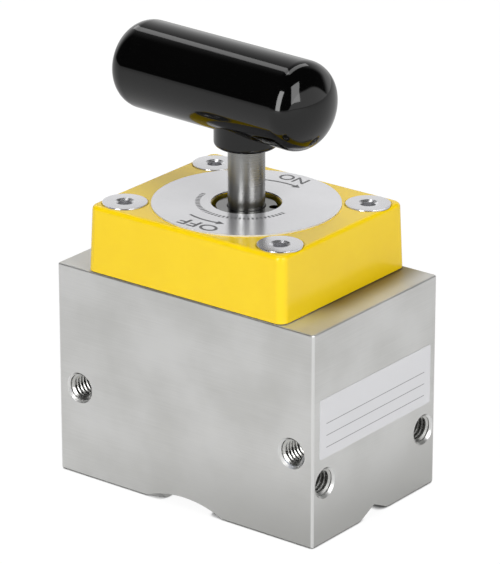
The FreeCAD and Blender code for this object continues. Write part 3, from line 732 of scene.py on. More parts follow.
FINISHES = (
    BlockSteel("ground_steel", (0.81, 0.81, 0.80), (0.88, 0.88, 0.875), 1.0, 0.36, 0.10,
               Pattern.GROUND, 0.25 * MM, 0.0012 * MM, cloud_size=18.0 * MM),
    CapPaint("yellow_paint", (0.960, 0.812, 0.04), (0.970, 0.828, 0.06), 0.0, 0.20, 0.02,
             Pattern.MOULDED, 1.6 * MM, 0.0006 * MM),
    HandlePlastic("black_plastic", (0.004, 0.004, 0.004), (0.008, 0.008, 0.008), 0.0, 0.07, 0.03,
                  Pattern.MOULDED, 6.0 * MM, 0.004 * MM),
    Finish("turned_steel", (0.53, 0.53, 0.525), (0.61, 0.61, 0.605), 1.0, 0.30, 0.08,
           Pattern.TURNED, 0.14 * MM, 0.0005 * MM),
    Finish("screw_steel", (0.85, 0.85, 0.86), (0.90, 0.90, 0.91), 0.85, 0.20, 0.06,
           Pattern.TURNED, 0.30 * MM, 0.002 * MM, centre=(20.8 * MM, 15.5 * MM)),
    DialPlate("dial_aluminium", (0.88, 0.88, 0.89), (0.91, 0.91, 0.92), 0.65, 0.19, 0.03,
              Pattern.MOULDED, 0.6 * MM, 0.001 * MM),
    Finish("seal_rubber", (0.26, 0.23, 0.15), (0.30, 0.27, 0.18), 0.0, 0.60, 0.10,
           Pattern.MOULDED, 0.5 * MM, 0.010 * MM),
    Finish("pad_plastic", (0.86, 0.86, 0.81), (0.90, 0.90, 0.86), 0.0, 0.45, 0.10,
           Pattern.MOULDED, 0.8 * MM, 0.010 * MM),
    Finish("magnet_nickel", (0.76, 0.75, 0.72), (0.82, 0.81, 0.78), 1.0, 0.16, 0.08,
           Pattern.MOULDED, 0.8 * MM, 0.003 * MM),
    Finish("hardened_steel", (0.50, 0.50, 0.51), (0.58, 0.58, 0.59), 1.0, 0.24, 0.10,
           Pattern.MOULDED, 0.4 * MM, 0.003 * MM),
    Finish("carrier_alloy", (0.78, 0.78, 0.80), (0.84, 0.84, 0.86), 1.0, 0.34, 0.12,
           Pattern.TURNED, 0.35 * MM, 0.006 * MM),
    Finish("bronze", (0.72, 0.54, 0.32), (0.80, 0.62, 0.38), 1.0, 0.30, 0.12,
           Pattern.TURNED, 0.40 * MM, 0.004 * MM),
    Finish("brass", (0.84, 0.70, 0.40), (0.90, 0.77, 0.46), 1.0, 0.24, 0.10,
           Pattern.TURNED, 0.30 * MM, 0.004 * MM),
    LabelFilm(),
    Finish("dial_print", (0.34, 0.34, 0.35), (0.40, 0.40, 0.41), 0.0, 0.45, 0.10,
           Pattern.MOULDED, 0.3 * MM, 0.002 * MM, slot="dial_aluminium"),
    Finish("bush_steel", (0.45, 0.45, 0.445), (0.51, 0.51, 0.505), 1.0, 0.13, 0.04,
           Pattern.TURNED, 0.20 * MM, 0.0004 * MM, slot="turned_steel"),
    # A darker copy of the ground steel for the threads: painted shade inside the tapped holes.
    Finish("thread_steel", (0.76, 0.76, 0.75), (0.84, 0.84, 0.83), 1.0, 0.28, 0.08,
           Pattern.MOULDED, 0.30 * MM, 0.002 * MM, slot="ground_steel"),
)


class Paintshop:
    """Builds each finish once and dresses the parts of the frame that stay in view."""

    def __init__(self, frame: dict) -> None:
        """Build the finishes.

        Args:
            frame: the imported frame.
        """
        self.frame = frame
        self.materials = {finish.name: finish.material() for finish in FINISHES}
        self.slots = {finish.name: finish.slot or finish.name for finish in FINISHES}

    def dress_parts(self) -> None:
        """Give every part of the frame the finish that the record names for it."""
        for part in self.frame["record"]["subparts"]:
            thing = self.frame["nodes"][part["node"]]
            material = self.materials[part["material_slot"]]
            if not thing.material_slots:
                thing.data.materials.append(material)
            for held in thing.material_slots:
                held.material = material
            log.info("%s: kept, finish %s", thing.name, material.name)

    def install(self, piece: Workpiece, body: Body, finish: str, *nodes: str) -> None:
        """Put a modelled piece on its body, in its finish.

        Args:
            piece: the piece.
            body: the body that it rides on.
            finish: the finish's name.
            nodes: parts of the frame that it stands for.
        """
        thing = piece.thing
        thing.data.materials.clear()
        thing.data.materials.append(self.materials[finish])
        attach(thing, body.value)
        if nodes:
            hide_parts(*nodes)
        log.info("%s: %d faces, finish %s", thing.name, len(thing.data.polygons), finish)


# The block


@dataclass
class GroundBlock:
    """Ground steel block with its bore, tapped holes, base channel and V groove."""

    frame: dict
    paint: Paintshop
    upright_chamfer: float = 0.6 * MM
    rim_chamfer: float = 0.4 * MM
    chamfer_rounds: int = 3
    bore_wall: float = 2.8 * MM
    bore_floor: float = 5.0 * MM
    bore_sides: int = 128
    channel_width: float = 12.5 * MM
    channel_shoulder: float = 1.65 * MM
    channel_crown: float = 2.4 * MM
    channel_cuts: int = 15
    flare_slope: float = 38.0
    flare_reach: float = 3.0 * MM
    flare_sides: int = 512
    arch_play: float = 0.02 * MM
    groove_width: float = 10.8 * MM
    groove_depth: float = 2.5 * MM
    mouth_flare: float = 0.5 * MM
    hole_sides: int = 64
    blind_depth: float = 12.0 * MM
    drill_point: float = 1.8 * MM
    drill_tip: float = 0.02 * MM
    pitch: float = 1.0 * MM
    ridge_height: float = 0.54 * MM
    ridge_root: float = 0.84 * MM
    ridge_crest: float = 0.22 * MM
    ridge_bite: float = 0.03 * MM
    ridge_steps: int = 28
    ridge_sharp: float = 30.0
    screw_hole_radius: float = 2.55 * MM
    screw_hole_depth: float = 11.8 * MM

    def build(self) -> None:
        """Model the block and the threads in its accessory holes."""
        low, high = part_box("steel_block")
        block = Workpiece.box("block", low, high)
        block.round_edges(self.is_upright, self.upright_chamfer, self.chamfer_rounds)
        block.round_edges(lambda edge: self.is_level_at(edge, (low.z, high.z)), self.rim_chamfer,
                          self.chamfer_rounds)
        block.cut(self.bore_tool(high), self.channel_tool(low, high), self.groove_tool(low, high))
        block.cut(self.flare_tool(low.y, 1), self.flare_tool(high.y, -1))
        for place, axis, radius, through in self.accessory_holes():
            block.cut(self.hole_tool(place, axis, radius, through))
        for x, y in CapAssembly.screw_places():
            foot = Vector((x, y, high.z - self.screw_hole_depth))
            length = self.screw_hole_depth + OVERLAP
            block.cut(Workpiece.drum("screw_hole", foot, UP, self.screw_hole_radius, length))
        block.smooth()
        self.paint.install(block, Body.HOUSING, "ground_steel", "steel_block")
        self.build_threads()

    @staticmethod
    def is_upright(edge: bmesh.types.BMEdge) -> bool:
        """Whether an edge stands upright."""
        first, second = (point.co for point in edge.verts)
        return abs(first.z - second.z) > (first.xy - second.xy).length

    @staticmethod
    def is_level_at(edge: bmesh.types.BMEdge, heights: Sequence[float]) -> bool:
        """Whether both ends of an edge lie at one of some heights."""
        return any(all(abs(point.co.z - height) < NEAR for point in edge.verts) for height in heights)

    def bore_tool(self, high: Vector) -> Workpiece:
        """Cutter for the blind bore."""
        radius = high.y - self.bore_wall
        length = high.z - self.bore_floor + OVERLAP
        return Workpiece.drum("bore", UP * self.bore_floor, UP, radius, length, self.bore_sides)

    def channel_tool(self, low: Vector, high: Vector) -> Workpiece:
        """Cutter for the arched channel between the poles."""
        half = self.channel_width / 2
        tool = Workpiece.box("channel", Vector((-half, low.y - OVERLAP, low.z - OVERLAP)),
                             Vector((half, high.y + OVERLAP, self.channel_shoulder)))
        rise = self.channel_crown - self.channel_shoulder
        with tool.edit_mode():
            bpy.ops.mesh.select_all(action="SELECT")
            bpy.ops.mesh.subdivide(number_cuts=self.channel_cuts)
            tool.pick(Pick.POINTS, lambda point: point.co.z > self.channel_shoulder - NEAR)
        for point in tool.thing.data.vertices:
            if point.select:
                point.co.z += rise * (1 - (point.co.x / half) ** 2)
        return tool

    def flare_tool(self, face: float, inwards: int) -> Workpiece:
        """Cutter for one flared mouth of the channel: a cone about the centre of the channel's arch.

        Args:
            face: place of the block's face along Y.
            inwards: 1 or -1, the direction into the steel.

        Returns:
            The cutter.
        """
        half = self.channel_width / 2
        rise = self.channel_crown - self.channel_shoulder
        radius = (half * half + rise * rise) / (rise * 2)
        slope = math.tan(math.radians(self.flare_slope))
        tool = Workpiece.turned("channel_flare", (
            (radius + OVERLAP * slope, -OVERLAP),
            (radius - self.flare_reach * slope, self.flare_reach)), self.flare_sides)
        turn = UP.rotation_difference(Vector((0, inwards, 0))).to_matrix().to_4x4()
        tool.move(Matrix.Translation((0, face, self.channel_crown - self.arch_play - radius)) @ turn)
        return tool

    def groove_tool(self, low: Vector, high: Vector) -> Workpiece:
        """Cutter for the V groove that round stock lies in."""
        half = self.groove_width / 2
        tool = Workpiece.box("groove", Vector((low.x - OVERLAP, -half, low.z - OVERLAP)),
                             Vector((high.x + OVERLAP, half, self.groove_depth)))
        slope = self.groove_depth / half
        with tool.edit_mode():
            tool.pick(Pick.POINTS, lambda point: point.co.z > low.z)
            bpy.ops.mesh.select_mode(type="VERT")
            bpy.ops.transform.resize(value=(1, 0, 1), center_override=(0, 0, 0))
            tool.pick(Pick.POINTS, lambda point: point.co.z < low.z)
            spread = 1 + OVERLAP * 2 / self.groove_width / slope
            bpy.ops.transform.resize(value=(1, spread, 1), center_override=(0, 0, 0))
        tool.close_up()
        return tool

    def accessory_holes(self) -> list[tuple[Vector, Vector, float, float]]:
        """Places of the tapped holes, from the record's bolt patterns.

        Returns:
            For each hole the middle of its mouth, the direction into the steel, its radius and its length.
        """
        low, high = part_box("steel_block")
        holes = []
        for mount in self.frame["record"]["mounts"]:
            if mount["kind"] != "bolt_pattern" or mount["name"] == "back_holes":
                continue
            inwards = -Vector(mount["axis"])
            along = inwards.cross(UP)
            spacing = mount["dims"]["spacing_x_mm"] * MM
            through = mount["name"] == "front_holes"
            length = high.y - low.y if through else self.blind_depth
            for side in (-0.5, 0.5):
                place = Vector(mount["pos_m"]) + along * spacing * side
                holes.append((place, inwards, mount["dims"]["hole_r_mm"] * MM, length))
        return holes

    def hole_tool(self, place: Vector, inwards: Vector, radius: float, length: float) -> Workpiece:
        """Cutter for one tapped hole with its flared mouth, and a drill point where it is blind.

        Args:
            place: middle of the mouth.
            inwards: direction into the steel.
            radius: radius of the hole.
            length: its length from the mouth.

        Returns:
            The cutter.
        """
        wide = radius + self.mouth_flare
        spare = OVERLAP
        profile = [(wide + spare, -spare), (wide, 0.0), (radius, self.mouth_flare)]
        if length > self.blind_depth:
            profile += [(radius, length - self.mouth_flare), (wide, length), (wide + spare, length + spare)]
        else:
            profile += [(radius, length), (self.drill_tip, length + self.drill_point)]
        tool = Workpiece.turned("tapped_hole", profile, self.hole_sides)
        tool.move(Matrix.Translation(place) @ UP.rotation_difference(inwards).to_matrix().to_4x4())
        return tool

    def build_threads(self) -> None:
        """Model the thread of one hole of each length and copy it into the others."""
        models = {}
        for number, (place, inwards, radius, length) in enumerate(self.accessory_holes(), 1):
            if length not in models:
                models[length] = self.thread_model(radius, length)
            turn = UP.rotation_difference(inwards).to_matrix().to_4x4()
            thread = models[length].copy_to("thread_%d" % number, Matrix.Translation(place) @ turn)
            # The threads take the darker copy of the ground steel: painted shade inside the holes.
            self.paint.install(thread, Body.HOUSING, "thread_steel")
        for model in models.values():
            bpy.data.objects.remove(model.thing)

    def thread_model(self, radius: float, length: float) -> Workpiece:
        """Model a thread's ridge: its section is swept up a helix.

        Args:
            radius: radius of the hole.
            length: length of the hole.

        Returns:
            The ridge, starting at the origin and running up Z.
        """
        bpy.ops.object.select_all(action="DESELECT")
        middle = radius + self.ridge_bite - self.ridge_height / 2
        start = self.mouth_flare + self.ridge_root / 2
        bpy.ops.mesh.primitive_plane_add(size=1, location=(middle, 0, start), rotation=(math.pi / 2, 0, 0))
        bpy.context.active_object.scale = (self.ridge_height, self.ridge_root, 1)
        ridge = Workpiece("thread_model")
        with ridge.edit_mode():
            bpy.ops.mesh.select_all(action="SELECT")
            bpy.ops.mesh.delete(type="ONLY_FACE")
            ridge.pick(Pick.POINTS, lambda point: point.co.x < middle)
            narrow = self.ridge_crest / self.ridge_root
            bpy.ops.transform.resize(value=(1, 1, narrow), center_override=(0, 0, start))
        turns = int((length - self.mouth_flare * 2 - self.ridge_root) / self.pitch)
        ridge.coil_up(self.pitch, turns, self.ridge_steps)
        ridge.smooth(self.ridge_sharp)
        return ridge


# The cap and what is screwed and pressed into it


@dataclass
class CapAssembly:
    """Yellow cap with its four screws and the bush that the shaft runs in."""

    paint: Paintshop
    draft: float = 1.9
    corner_radius: float = 2.1 * MM
    corner_rounds: int = 10
    edge_radius: float = 1.0 * MM
    edge_rounds: int = 8
    ceiling: float = 5.1 * MM
    pocket_radius: float = 10.3 * MM
    pocket_sides: int = 96
    spigot_radius: float = 19.0 * MM
    spigot_wall: float = 2.0 * MM
    spigot_sides: int = 128
    seat_gap: float = 0.6 * MM
    seat_chamfer: float = 0.3 * MM
    throat_radius: float = 6.0 * MM
    bush_head_height: float = 2.5 * MM
    bush_chamfer: float = 0.4 * MM
    bush_play: float = 0.05 * MM
    bush_sides: int = 96
    notch_radius: float = 1.1 * MM
    notch_depth: float = 1.5 * MM
    notch_inset: float = 0.9 * MM
    notch_angle: float = 27.0
    notch_sides: int = 48
    stop_pin_bite: float = 6.0 * MM
    stop_pin_sides: int = 32
    head_radius: float = 4.9 * MM
    head_rim: float = 0.4 * MM
    shank_radius: float = 2.5 * MM
    screw_gap: float = 0.2 * MM
    seat_play: float = 0.1 * MM
    screw_tip: float = 0.6 * MM
    rim_break: float = 0.2 * MM
    head_middle: float = 0.2 * MM
    screw_sides: int = 72
    socket_flats: float = 3.0 * MM
    socket_depth: float = 2.2 * MM
    socket_sides: int = 6
    lead_radius: float = 0.55 * MM
    lead_depth: float = 0.32 * MM
    lead_sides: int = 48
    sharp_angle: float = 28.0
    socket_turns: tuple[float, ...] = (12.0, 47.0, 31.0, 4.0)

    @staticmethod
    def screw_places() -> list[tuple[float, float]]:
        """Axes of the four cap screws."""
        low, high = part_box("cap_screws")
        head = CapAssembly.head_radius
        return [(x, y) for x in (low.x + head, high.x - head) for y in (low.y + head, high.y - head)]

    def build(self) -> None:
        """Model the cap, the screws and the bush."""
        self.build_cap()
        self.build_screws()
        self.build_bush()

    def build_cap(self) -> None:
        """Model the drafted and rounded cap, hollow underneath."""
        low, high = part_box("cap")
        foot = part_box("cap_gasket")[1].z
        cap = Workpiece.box("cap_cover", Vector((low.x, low.y, foot)), high)
        lean = (high.z - foot) * math.tan(math.radians(self.draft))
        with cap.edit_mode():
            cap.pick(Pick.POINTS, lambda point: point.co.z > foot + OVERLAP)
            ratios = ((high.x - lean) / high.x, (high.y - lean) / high.y, 1)
            bpy.ops.transform.resize(value=ratios, center_override=(0, 0, 0))
        cap.round_edges(GroundBlock.is_upright, self.corner_radius, self.corner_rounds)
        cap.round_edges(lambda edge: GroundBlock.is_level_at(edge, (high.z,)), self.edge_radius,
                        self.edge_rounds)
        inner = self.spigot_radius - self.spigot_wall
        cap.weld(Workpiece.turned("spigot", (
            (inner, low.z), (self.spigot_radius, low.z), (self.spigot_radius, foot + OVERLAP),
            (inner, foot + OVERLAP)), self.spigot_sides, hollow=True))
        pocket_height = high.z - self.ceiling - foot
        cap.cut(Workpiece.drum("pocket", UP * (foot - OVERLAP), UP, self.pocket_radius,
                               pocket_height + OVERLAP, self.pocket_sides))
        cap.cut(self.bush_seat_tool(high.z))
        pin_low, pin_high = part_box("stop_pin")
        pin_middle = (pin_low + pin_high) / 2
        pin_radius = (pin_high.x - pin_low.x) / 2
        cap.cut(Workpiece.drum("pin_hole", Vector((pin_middle.x, 0, foot - OVERLAP)), UP, pin_radius,
                               self.stop_pin_bite + OVERLAP, self.stop_pin_sides))
        for x, y in self.screw_places():
            cap.cut(self.countersink_tool(x, y, foot, high.z))
        cap.smooth()
        self.paint.install(cap, Body.HOUSING, "yellow_paint", "cap")

    def bush_seat_tool(self, top: float) -> Workpiece:
        """Cutter for the seat of the bush.

        Args:
            top: height of the cap's top face.

        Returns:
            The cutter.
        """
        bush_low, bush_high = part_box("shaft_bush")
        head = bush_high.x + self.seat_gap
        shoulder = bush_high.z - self.bush_head_height
        chamfer = self.seat_chamfer
        return Workpiece.turned("bush_seat", (
            (self.throat_radius, bush_low.z - OVERLAP), (self.throat_radius, shoulder), (head, shoulder),
            (head, top - chamfer), (head + chamfer, top), (head + chamfer, top + OVERLAP)))

    def countersink_tool(self, x: float, y: float, foot: float, top: float) -> Workpiece:
        """Cutter for one screw hole with its countersink.

        Args:
            x: place of its axis along the cap.
            y: place of its axis across the cap.
            foot: height of the cap's foot.
            top: height of the cap's top face.

        Returns:
            The cutter.
        """
        throat = self.shank_radius + self.screw_gap
        mouth = self.head_radius + self.head_rim - self.screw_gap + self.seat_play
        tool = Workpiece.turned("countersink", (
            (throat, foot - OVERLAP), (throat, top - mouth + throat),
            (mouth, top), (mouth, top + OVERLAP)))
        tool.move(Matrix.Translation((x, y, 0)))
        return tool

    def build_screws(self) -> None:
        """Model one countersunk screw and copy it to the other three corners."""
        low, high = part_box("cap_screws")
        neck = high.z - self.head_rim - self.head_radius + self.shank_radius
        tip = self.screw_tip
        rim = self.rim_break
        screw = Workpiece.turned("screw_model", (
            (self.shank_radius - tip, low.z), (self.shank_radius, low.z + tip), (self.shank_radius, neck),
            (self.head_radius, high.z - self.head_rim), (self.head_radius, high.z - rim),
            (self.head_radius - rim / 4, high.z - rim / 4), (self.head_radius - rim, high.z),
            (self.head_middle, high.z)), self.screw_sides)
        across = self.socket_flats / math.sqrt(3)
        socket_foot = UP * (high.z - self.socket_depth)
        screw.cut(Workpiece.drum("socket", socket_foot, UP, across, self.socket_depth + OVERLAP,
                                 self.socket_sides))
        screw.cut(Workpiece.turned("socket_lead", (
            (across - self.lead_radius, high.z - self.lead_depth * 2),
            (across + self.lead_radius, high.z + self.lead_depth / 5)), self.lead_sides))
        screw.smooth(self.sharp_angle)
        for number, ((x, y), angle) in enumerate(zip(self.screw_places(), self.socket_turns), 1):
            turn = Matrix.Rotation(math.radians(angle), 4, "Z")
            copy = screw.copy_to("cap_screw_%d" % number, Matrix.Translation((x, y, 0)) @ turn)
            nodes = ("cap_screws",) if number == 1 else ()
            self.paint.install(copy, Body.HOUSING, "screw_steel", *nodes)
        bpy.data.objects.remove(screw.thing)

    def build_bush(self) -> None:
        """Model the headed bush with its seal groove and the notch for a spanner."""
        low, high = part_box("shaft_bush")
        seal_low, seal_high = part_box("shaft_seal")
        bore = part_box("drive_shaft")[1].x + self.bush_play
        body_radius = self.throat_radius - self.bush_play
        shoulder = high.z - self.bush_head_height
        edge = self.bush_chamfer
        bush = Workpiece.turned("bush", (
            (bore, low.z), (body_radius, low.z), (body_radius, shoulder), (high.x, shoulder),
            (high.x, high.z - edge), (high.x - edge, high.z), (bore + edge / 2, high.z),
            (bore, high.z - edge / 2), (bore, seal_high.z), (seal_high.x, seal_high.z),
            (seal_high.x, seal_low.z), (bore, seal_low.z)), self.bush_sides, hollow=True)
        angle = math.radians(self.notch_angle)
        place = Vector((math.cos(angle), math.sin(angle), 0)) * (high.x - self.notch_inset)
        place.z = high.z - self.notch_depth
        bush.cut(Workpiece.drum("notch", place, UP, self.notch_radius, self.notch_depth + OVERLAP,
                                self.notch_sides))
        bush.smooth(self.sharp_angle)
        self.paint.install(bush, Body.HOUSING, "bush_steel", "shaft_bush")


# The dial


@dataclass
class Dial:
    """Silver dial plate with ON, OFF, two arrows and a ring of plain ticks printed on it."""

    paint: Paintshop
    hole_radius: float = 7.65 * MM
    plate_sides: int = 160
    print_thickness: float = 0.02 * MM
    letter_height: float = 3.2 * MM
    letter_weight: float = 0.04 * MM
    font_scale: float = 1.4
    on_width: float = 7.0 * MM
    off_width: float = 9.6 * MM
    on_place: tuple[float, float] = (-0.6 * MM, 17.4 * MM)
    off_place: tuple[float, float] = (0.7 * MM, -17.4 * MM)
    on_arrow_ends: tuple[float, float] = (112.4, 74.5)
    off_arrow_ends: tuple[float, float] = (251.1, 288.5)
    arrow_radius: float = 14.2 * MM
    arrow_width: float = 0.5 * MM
    arrow_head: float = 1.1 * MM
    arrow_head_sides: int = 3
    arrow_steps: int = 24
    tick_radius: float = 10.45 * MM
    edge_round: float = 0.02 * MM
    tick_length: float = 1.0 * MM
    tick_width: float = 0.42 * MM
    tick_first: float = 190.0
    tick_last: float = 355.0
    tick_count: int = 34

    def build(self) -> None:
        """Model the plate and its print."""
        low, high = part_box("dial_plate")
        edge = self.edge_round
        plate = Workpiece.turned("dial", (
            (self.hole_radius, low.z), (high.x, low.z), (high.x, high.z - edge), (high.x - edge, high.z),
            (self.hole_radius + edge, high.z), (self.hole_radius, high.z - edge)),
            self.plate_sides, hollow=True)
        plate.smooth()
        self.paint.install(plate, Body.HOUSING, "dial_aluminium", "dial_plate")
        self.letters("on_mark", "ON", self.on_place, self.on_width, 0.0, high.z)
        self.letters("off_mark", "OFF", self.off_place, self.off_width, math.pi, high.z)
        self.arrow("on_arrow", *self.on_arrow_ends, high.z)
        self.arrow("off_arrow", *self.off_arrow_ends, high.z)
        self.ticks(high.z)

    def letters(self, name: str, word: str, place: tuple[float, float], width: float, turn: float,
                height: float) -> None:
        """Print a word.

        Args:
            name: the piece's name.
            word: the word.
            place: its middle on the dial.
            width: its width.
            turn: its turn about Z.
            height: height of the dial's face.
        """
        bpy.ops.object.select_all(action="DESELECT")
        bpy.ops.object.text_add()
        text = bpy.context.active_object
        text.data.body = word
        text.data.size = self.letter_height * self.font_scale
        text.data.extrude = self.print_thickness / 2
        text.data.offset = self.letter_weight
        bpy.ops.object.convert(target="MESH")
        piece = Workpiece(name)
        corners = [Vector(corner) for corner in piece.thing.bound_box]
        low = Vector(map(min, zip(*corners)))
        high = Vector(map(max, zip(*corners)))
        size = high - low
        fit = Matrix.Diagonal((width / size.x, self.letter_height / size.y, 1, 1))
        spot = Matrix.Translation((*place, height + self.print_thickness / 2))
        spot = spot @ Matrix.Rotation(turn, 4, "Z")
        piece.move(spot @ fit @ Matrix.Translation(-(low + high) / 2))
        piece.close_up()
        self.paint.install(piece, Body.HOUSING, "dial_print")

    def arrow(self, name: str, start: float, end: float, height: float) -> None:
        """Print a curved arrow.

        Args:
            name: the piece's name.
            start: direction of its tail, in degrees.
            end: direction of its point, in degrees.
            height: height of the dial's face.
        """
        way = 1 if end > start else -1
        neck = end - way * math.degrees(self.arrow_head * 1.5 / self.arrow_radius)
        step = math.radians(neck - start) / self.arrow_steps
        half = self.arrow_width / 2
        sliver = 0.01 * MM
        top = height + self.print_thickness
        shaft = Workpiece.box(name, Vector((self.arrow_radius - half, -sliver, height)),
                              Vector((self.arrow_radius + half, sliver, top)))
        with shaft.edit_mode():
            shaft.pick(Pick.FACES, lambda face: face.calc_center_median().y * way > sliver / 2)
            for _ in range(self.arrow_steps):
                bpy.ops.mesh.extrude_region_move()
                bpy.ops.transform.rotate(value=-step, orient_axis="Z", center_override=(0, 0, height))
        shaft.move(Matrix.Rotation(math.radians(start), 4, "Z"))
        foot = Vector((0, 0, height))
        head = Workpiece.drum("arrow_head", foot, UP, self.arrow_head, self.print_thickness,
                              self.arrow_head_sides)
        forward = Matrix.Rotation(0.0 if way > 0 else math.pi, 4, "Z")
        reach = Matrix.Translation((self.arrow_radius, 0, 0))
        head.move(Matrix.Rotation(math.radians(neck), 4, "Z") @ reach @ forward
                  @ Matrix.Translation((0, self.arrow_head / 2, 0)))
        shaft.weld(head)
        self.paint.install(shaft, Body.HOUSING, "dial_print")

    def ticks(self, height: float) -> None:
        """Print the ring of plain ticks.

        Args:
            height: height of the dial's face.
        """
        first = math.radians(self.tick_first)
        step = math.radians((self.tick_last - self.tick_first) / (self.tick_count - 1))
        middle = Vector((math.cos(first), math.sin(first), 0)) * self.tick_radius
        bpy.ops.object.select_all(action="DESELECT")
        bpy.ops.mesh.primitive_cube_add(size=1, location=middle + UP * (height + self.print_thickness / 2),
                                        rotation=(0, 0, first))
        bpy.context.active_object.scale = (self.tick_length, self.tick_width, self.print_thickness)
        piece = Workpiece("tick_ring")
        with piece.edit_mode():
            bpy.ops.mesh.select_all(action="SELECT")
            for _ in range(self.tick_count - 1):
                bpy.ops.mesh.duplicate()
                bpy.ops.transform.rotate(value=-step, orient_axis="Z", center_override=(0, 0, height))
        self.paint.install(piece, Body.HOUSING, "dial_print")


# The handle and its shaft


@dataclass
class SwitchHandle:
    """Round-ended black bar with its hub, on the turned shaft that a spring holds up."""

    paint: Paintshop
    bar_radius: float = 9.75 * MM
    bar_sides: int = 160
    long_end: float = 34.0 * MM
    short_end: float = 21.2 * MM
    dome_radius: float = 13.05 * MM
    shoulder_radius: float = 5.4 * MM
    set_angle: float = -3.3
    round_steps: int = 16
    hub_radius: float = 7.0 * MM
    hub_round: float = 1.0 * MM
    hub_steps: int = 6
    insert_radius: float = 5.0 * MM
    insert_sides: int = 96
    sharp_angle: float = 35.0
    shaft_chamfer: float = 0.6 * MM
    shaft_sides: int = 128
    pin_radius: float = 1.55 * MM
    pin_sides: int = 32
    peg_bite: float = 5.0 * MM
    spring_wire: float = 0.7 * MM
    wire_sides: int = 12
    wire_sharp: float = 60.0
    spring_turns: int = 4
    spring_steps: int = 36
    spring_play: float = 0.02 * MM

    def build(self) -> None:
        """Model the bar, the hub, the shaft and its spring."""
        self.build_handle()
        self.build_shaft()
        self.build_spring()

    def end_profile(self, reach: float) -> list[tuple[float, float]]:
        """Profile of one end of the bar, from the middle of its dome to its straight part.

        Args:
            reach: the end's distance from the turning axis.

        Returns:
            (radius, distance from the turning axis) points.
        """
        offset = self.dome_radius - self.shoulder_radius
        rise = self.bar_radius - self.shoulder_radius
        join = math.asin(rise / offset)
        dome_middle = reach - self.dome_radius
        shoulder_middle = dome_middle + offset * math.cos(join)
        points = []
        for step in range(1, self.round_steps + 1):
            angle = join * step / self.round_steps
            points.append((self.dome_radius * math.sin(angle),
                           dome_middle + self.dome_radius * math.cos(angle)))
        for step in range(1, self.round_steps + 1):
            angle = join + (math.pi / 2 - join) * step / self.round_steps
            points.append((rise + self.shoulder_radius * math.sin(angle),
                           shoulder_middle + self.shoulder_radius * math.cos(angle)))
        return points

    def build_handle(self) -> None:
        """Turn the bar, lay it down at its set angle, then weld on the hub and bore it."""
        low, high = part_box("handle")
        axis_height = high.z - self.bar_radius
        long_side = [(radius, -along) for radius, along in self.end_profile(self.long_end)]
        short_side = self.end_profile(self.short_end)
        bar = Workpiece.turned("handle_bar", long_side + short_side[::-1], self.bar_sides)
        lying = Matrix.Rotation(math.pi / 2, 4, "Y")
        set_turn = Matrix.Rotation(math.radians(self.set_angle), 4, "Z")
        bar.move(Matrix.Translation(UP * axis_height) @ set_turn @ lying)
        foot_round = []
        for step in range(self.hub_steps + 1):
            angle = math.pi / 2 * step / self.hub_steps
            foot_round.append((self.hub_radius - self.hub_round * (1 - math.sin(angle)),
                               low.z + self.hub_round * (1 - math.cos(angle))))
        hub = Workpiece.turned("hub", foot_round + [(self.hub_radius, axis_height)], self.bar_sides)
        bar.weld(hub)
        pocket_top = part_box("handle_insert")[1].z
        bar.cut(Workpiece.drum("insert_pocket", UP * (low.z - OVERLAP), UP, self.insert_radius,
                               pocket_top - low.z + OVERLAP, self.insert_sides))
        bar.smooth(self.sharp_angle)
        self.paint.install(bar, Body.KNOB, "black_plastic", "handle")

    def build_shaft(self) -> None:
        """Model the shaft with the holes for its cross pin and its lock peg."""
        low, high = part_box("drive_shaft")
        edge = self.shaft_chamfer
        shaft = Workpiece.turned("shaft", (
            (high.x - edge, low.z), (high.x, low.z + edge),
            (high.x, high.z - edge), (high.x - edge, high.z)), self.shaft_sides)
        pin = sum(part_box("drive_pin"), Vector()) / 2
        peg = sum(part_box("lock_peg"), Vector()) / 2
        across = Vector((0, 1, 0))
        reach = high.y + OVERLAP
        for name, middle, length in (
            ("pin_hole", pin, reach * 2),
            ("peg_hole", peg, self.peg_bite + OVERLAP),
        ):
            foot = Vector((0, -reach, middle.z))
            shaft.cut(Workpiece.drum(name, foot, across, self.pin_radius, length, self.pin_sides))
        shaft.smooth()
        self.paint.install(shaft, Body.KNOB, "turned_steel", "drive_shaft")

    def build_spring(self) -> None:
        """Coil the release spring and give it a mesh of its own."""
        low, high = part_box("release_spring")
        wire = self.spring_wire / 2
        bpy.ops.object.select_all(action="DESELECT")
        bpy.ops.mesh.primitive_circle_add(vertices=self.wire_sides, radius=wire,
                                          rotation=(math.pi / 2, 0, 0),
                                          location=(high.x - wire, 0, low.z + wire))
        spring = Workpiece("spring")
        pitch = (high.z - low.z - wire * 2) / self.spring_turns
        spring.coil_up(pitch, self.spring_turns, self.spring_steps)
        spring.smooth(self.wire_sharp)
        self.paint.install(spring, Body.KNOB, "hardened_steel", "release_spring")
        joints = {joint["name"]: joint for joint in self.paint.frame["record"]["behaviour"]["joints"]}
        travel = joints["release_press"]["range_m"][1] + self.spring_play
        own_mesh(spring.thing, "release_press", axis=(0, 0, 1), anchor=(0, 0, high.z),
                  keep=1 - travel / (high.z - low.z))


@dataclass
class SideLabel:
    """Plain label with round corners on the right-hand end face."""

    paint: Paintshop
    corner_radius: float = 0.5 * MM
    corner_rounds: int = 6

    def build(self) -> None:
        """Model the label."""
        low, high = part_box("side_label")
        label = Workpiece.box("label", low, high)

        def is_corner(edge: bmesh.types.BMEdge) -> bool:
            """Whether the edge goes through the label's thickness."""
            return abs(edge.verts[0].co.x - edge.verts[1].co.x) > NEAR

        label.round_edges(is_corner, self.corner_radius, self.corner_rounds)
        label.smooth()
        self.paint.install(label, Body.HOUSING, "label_film", "side_label")


# The studio


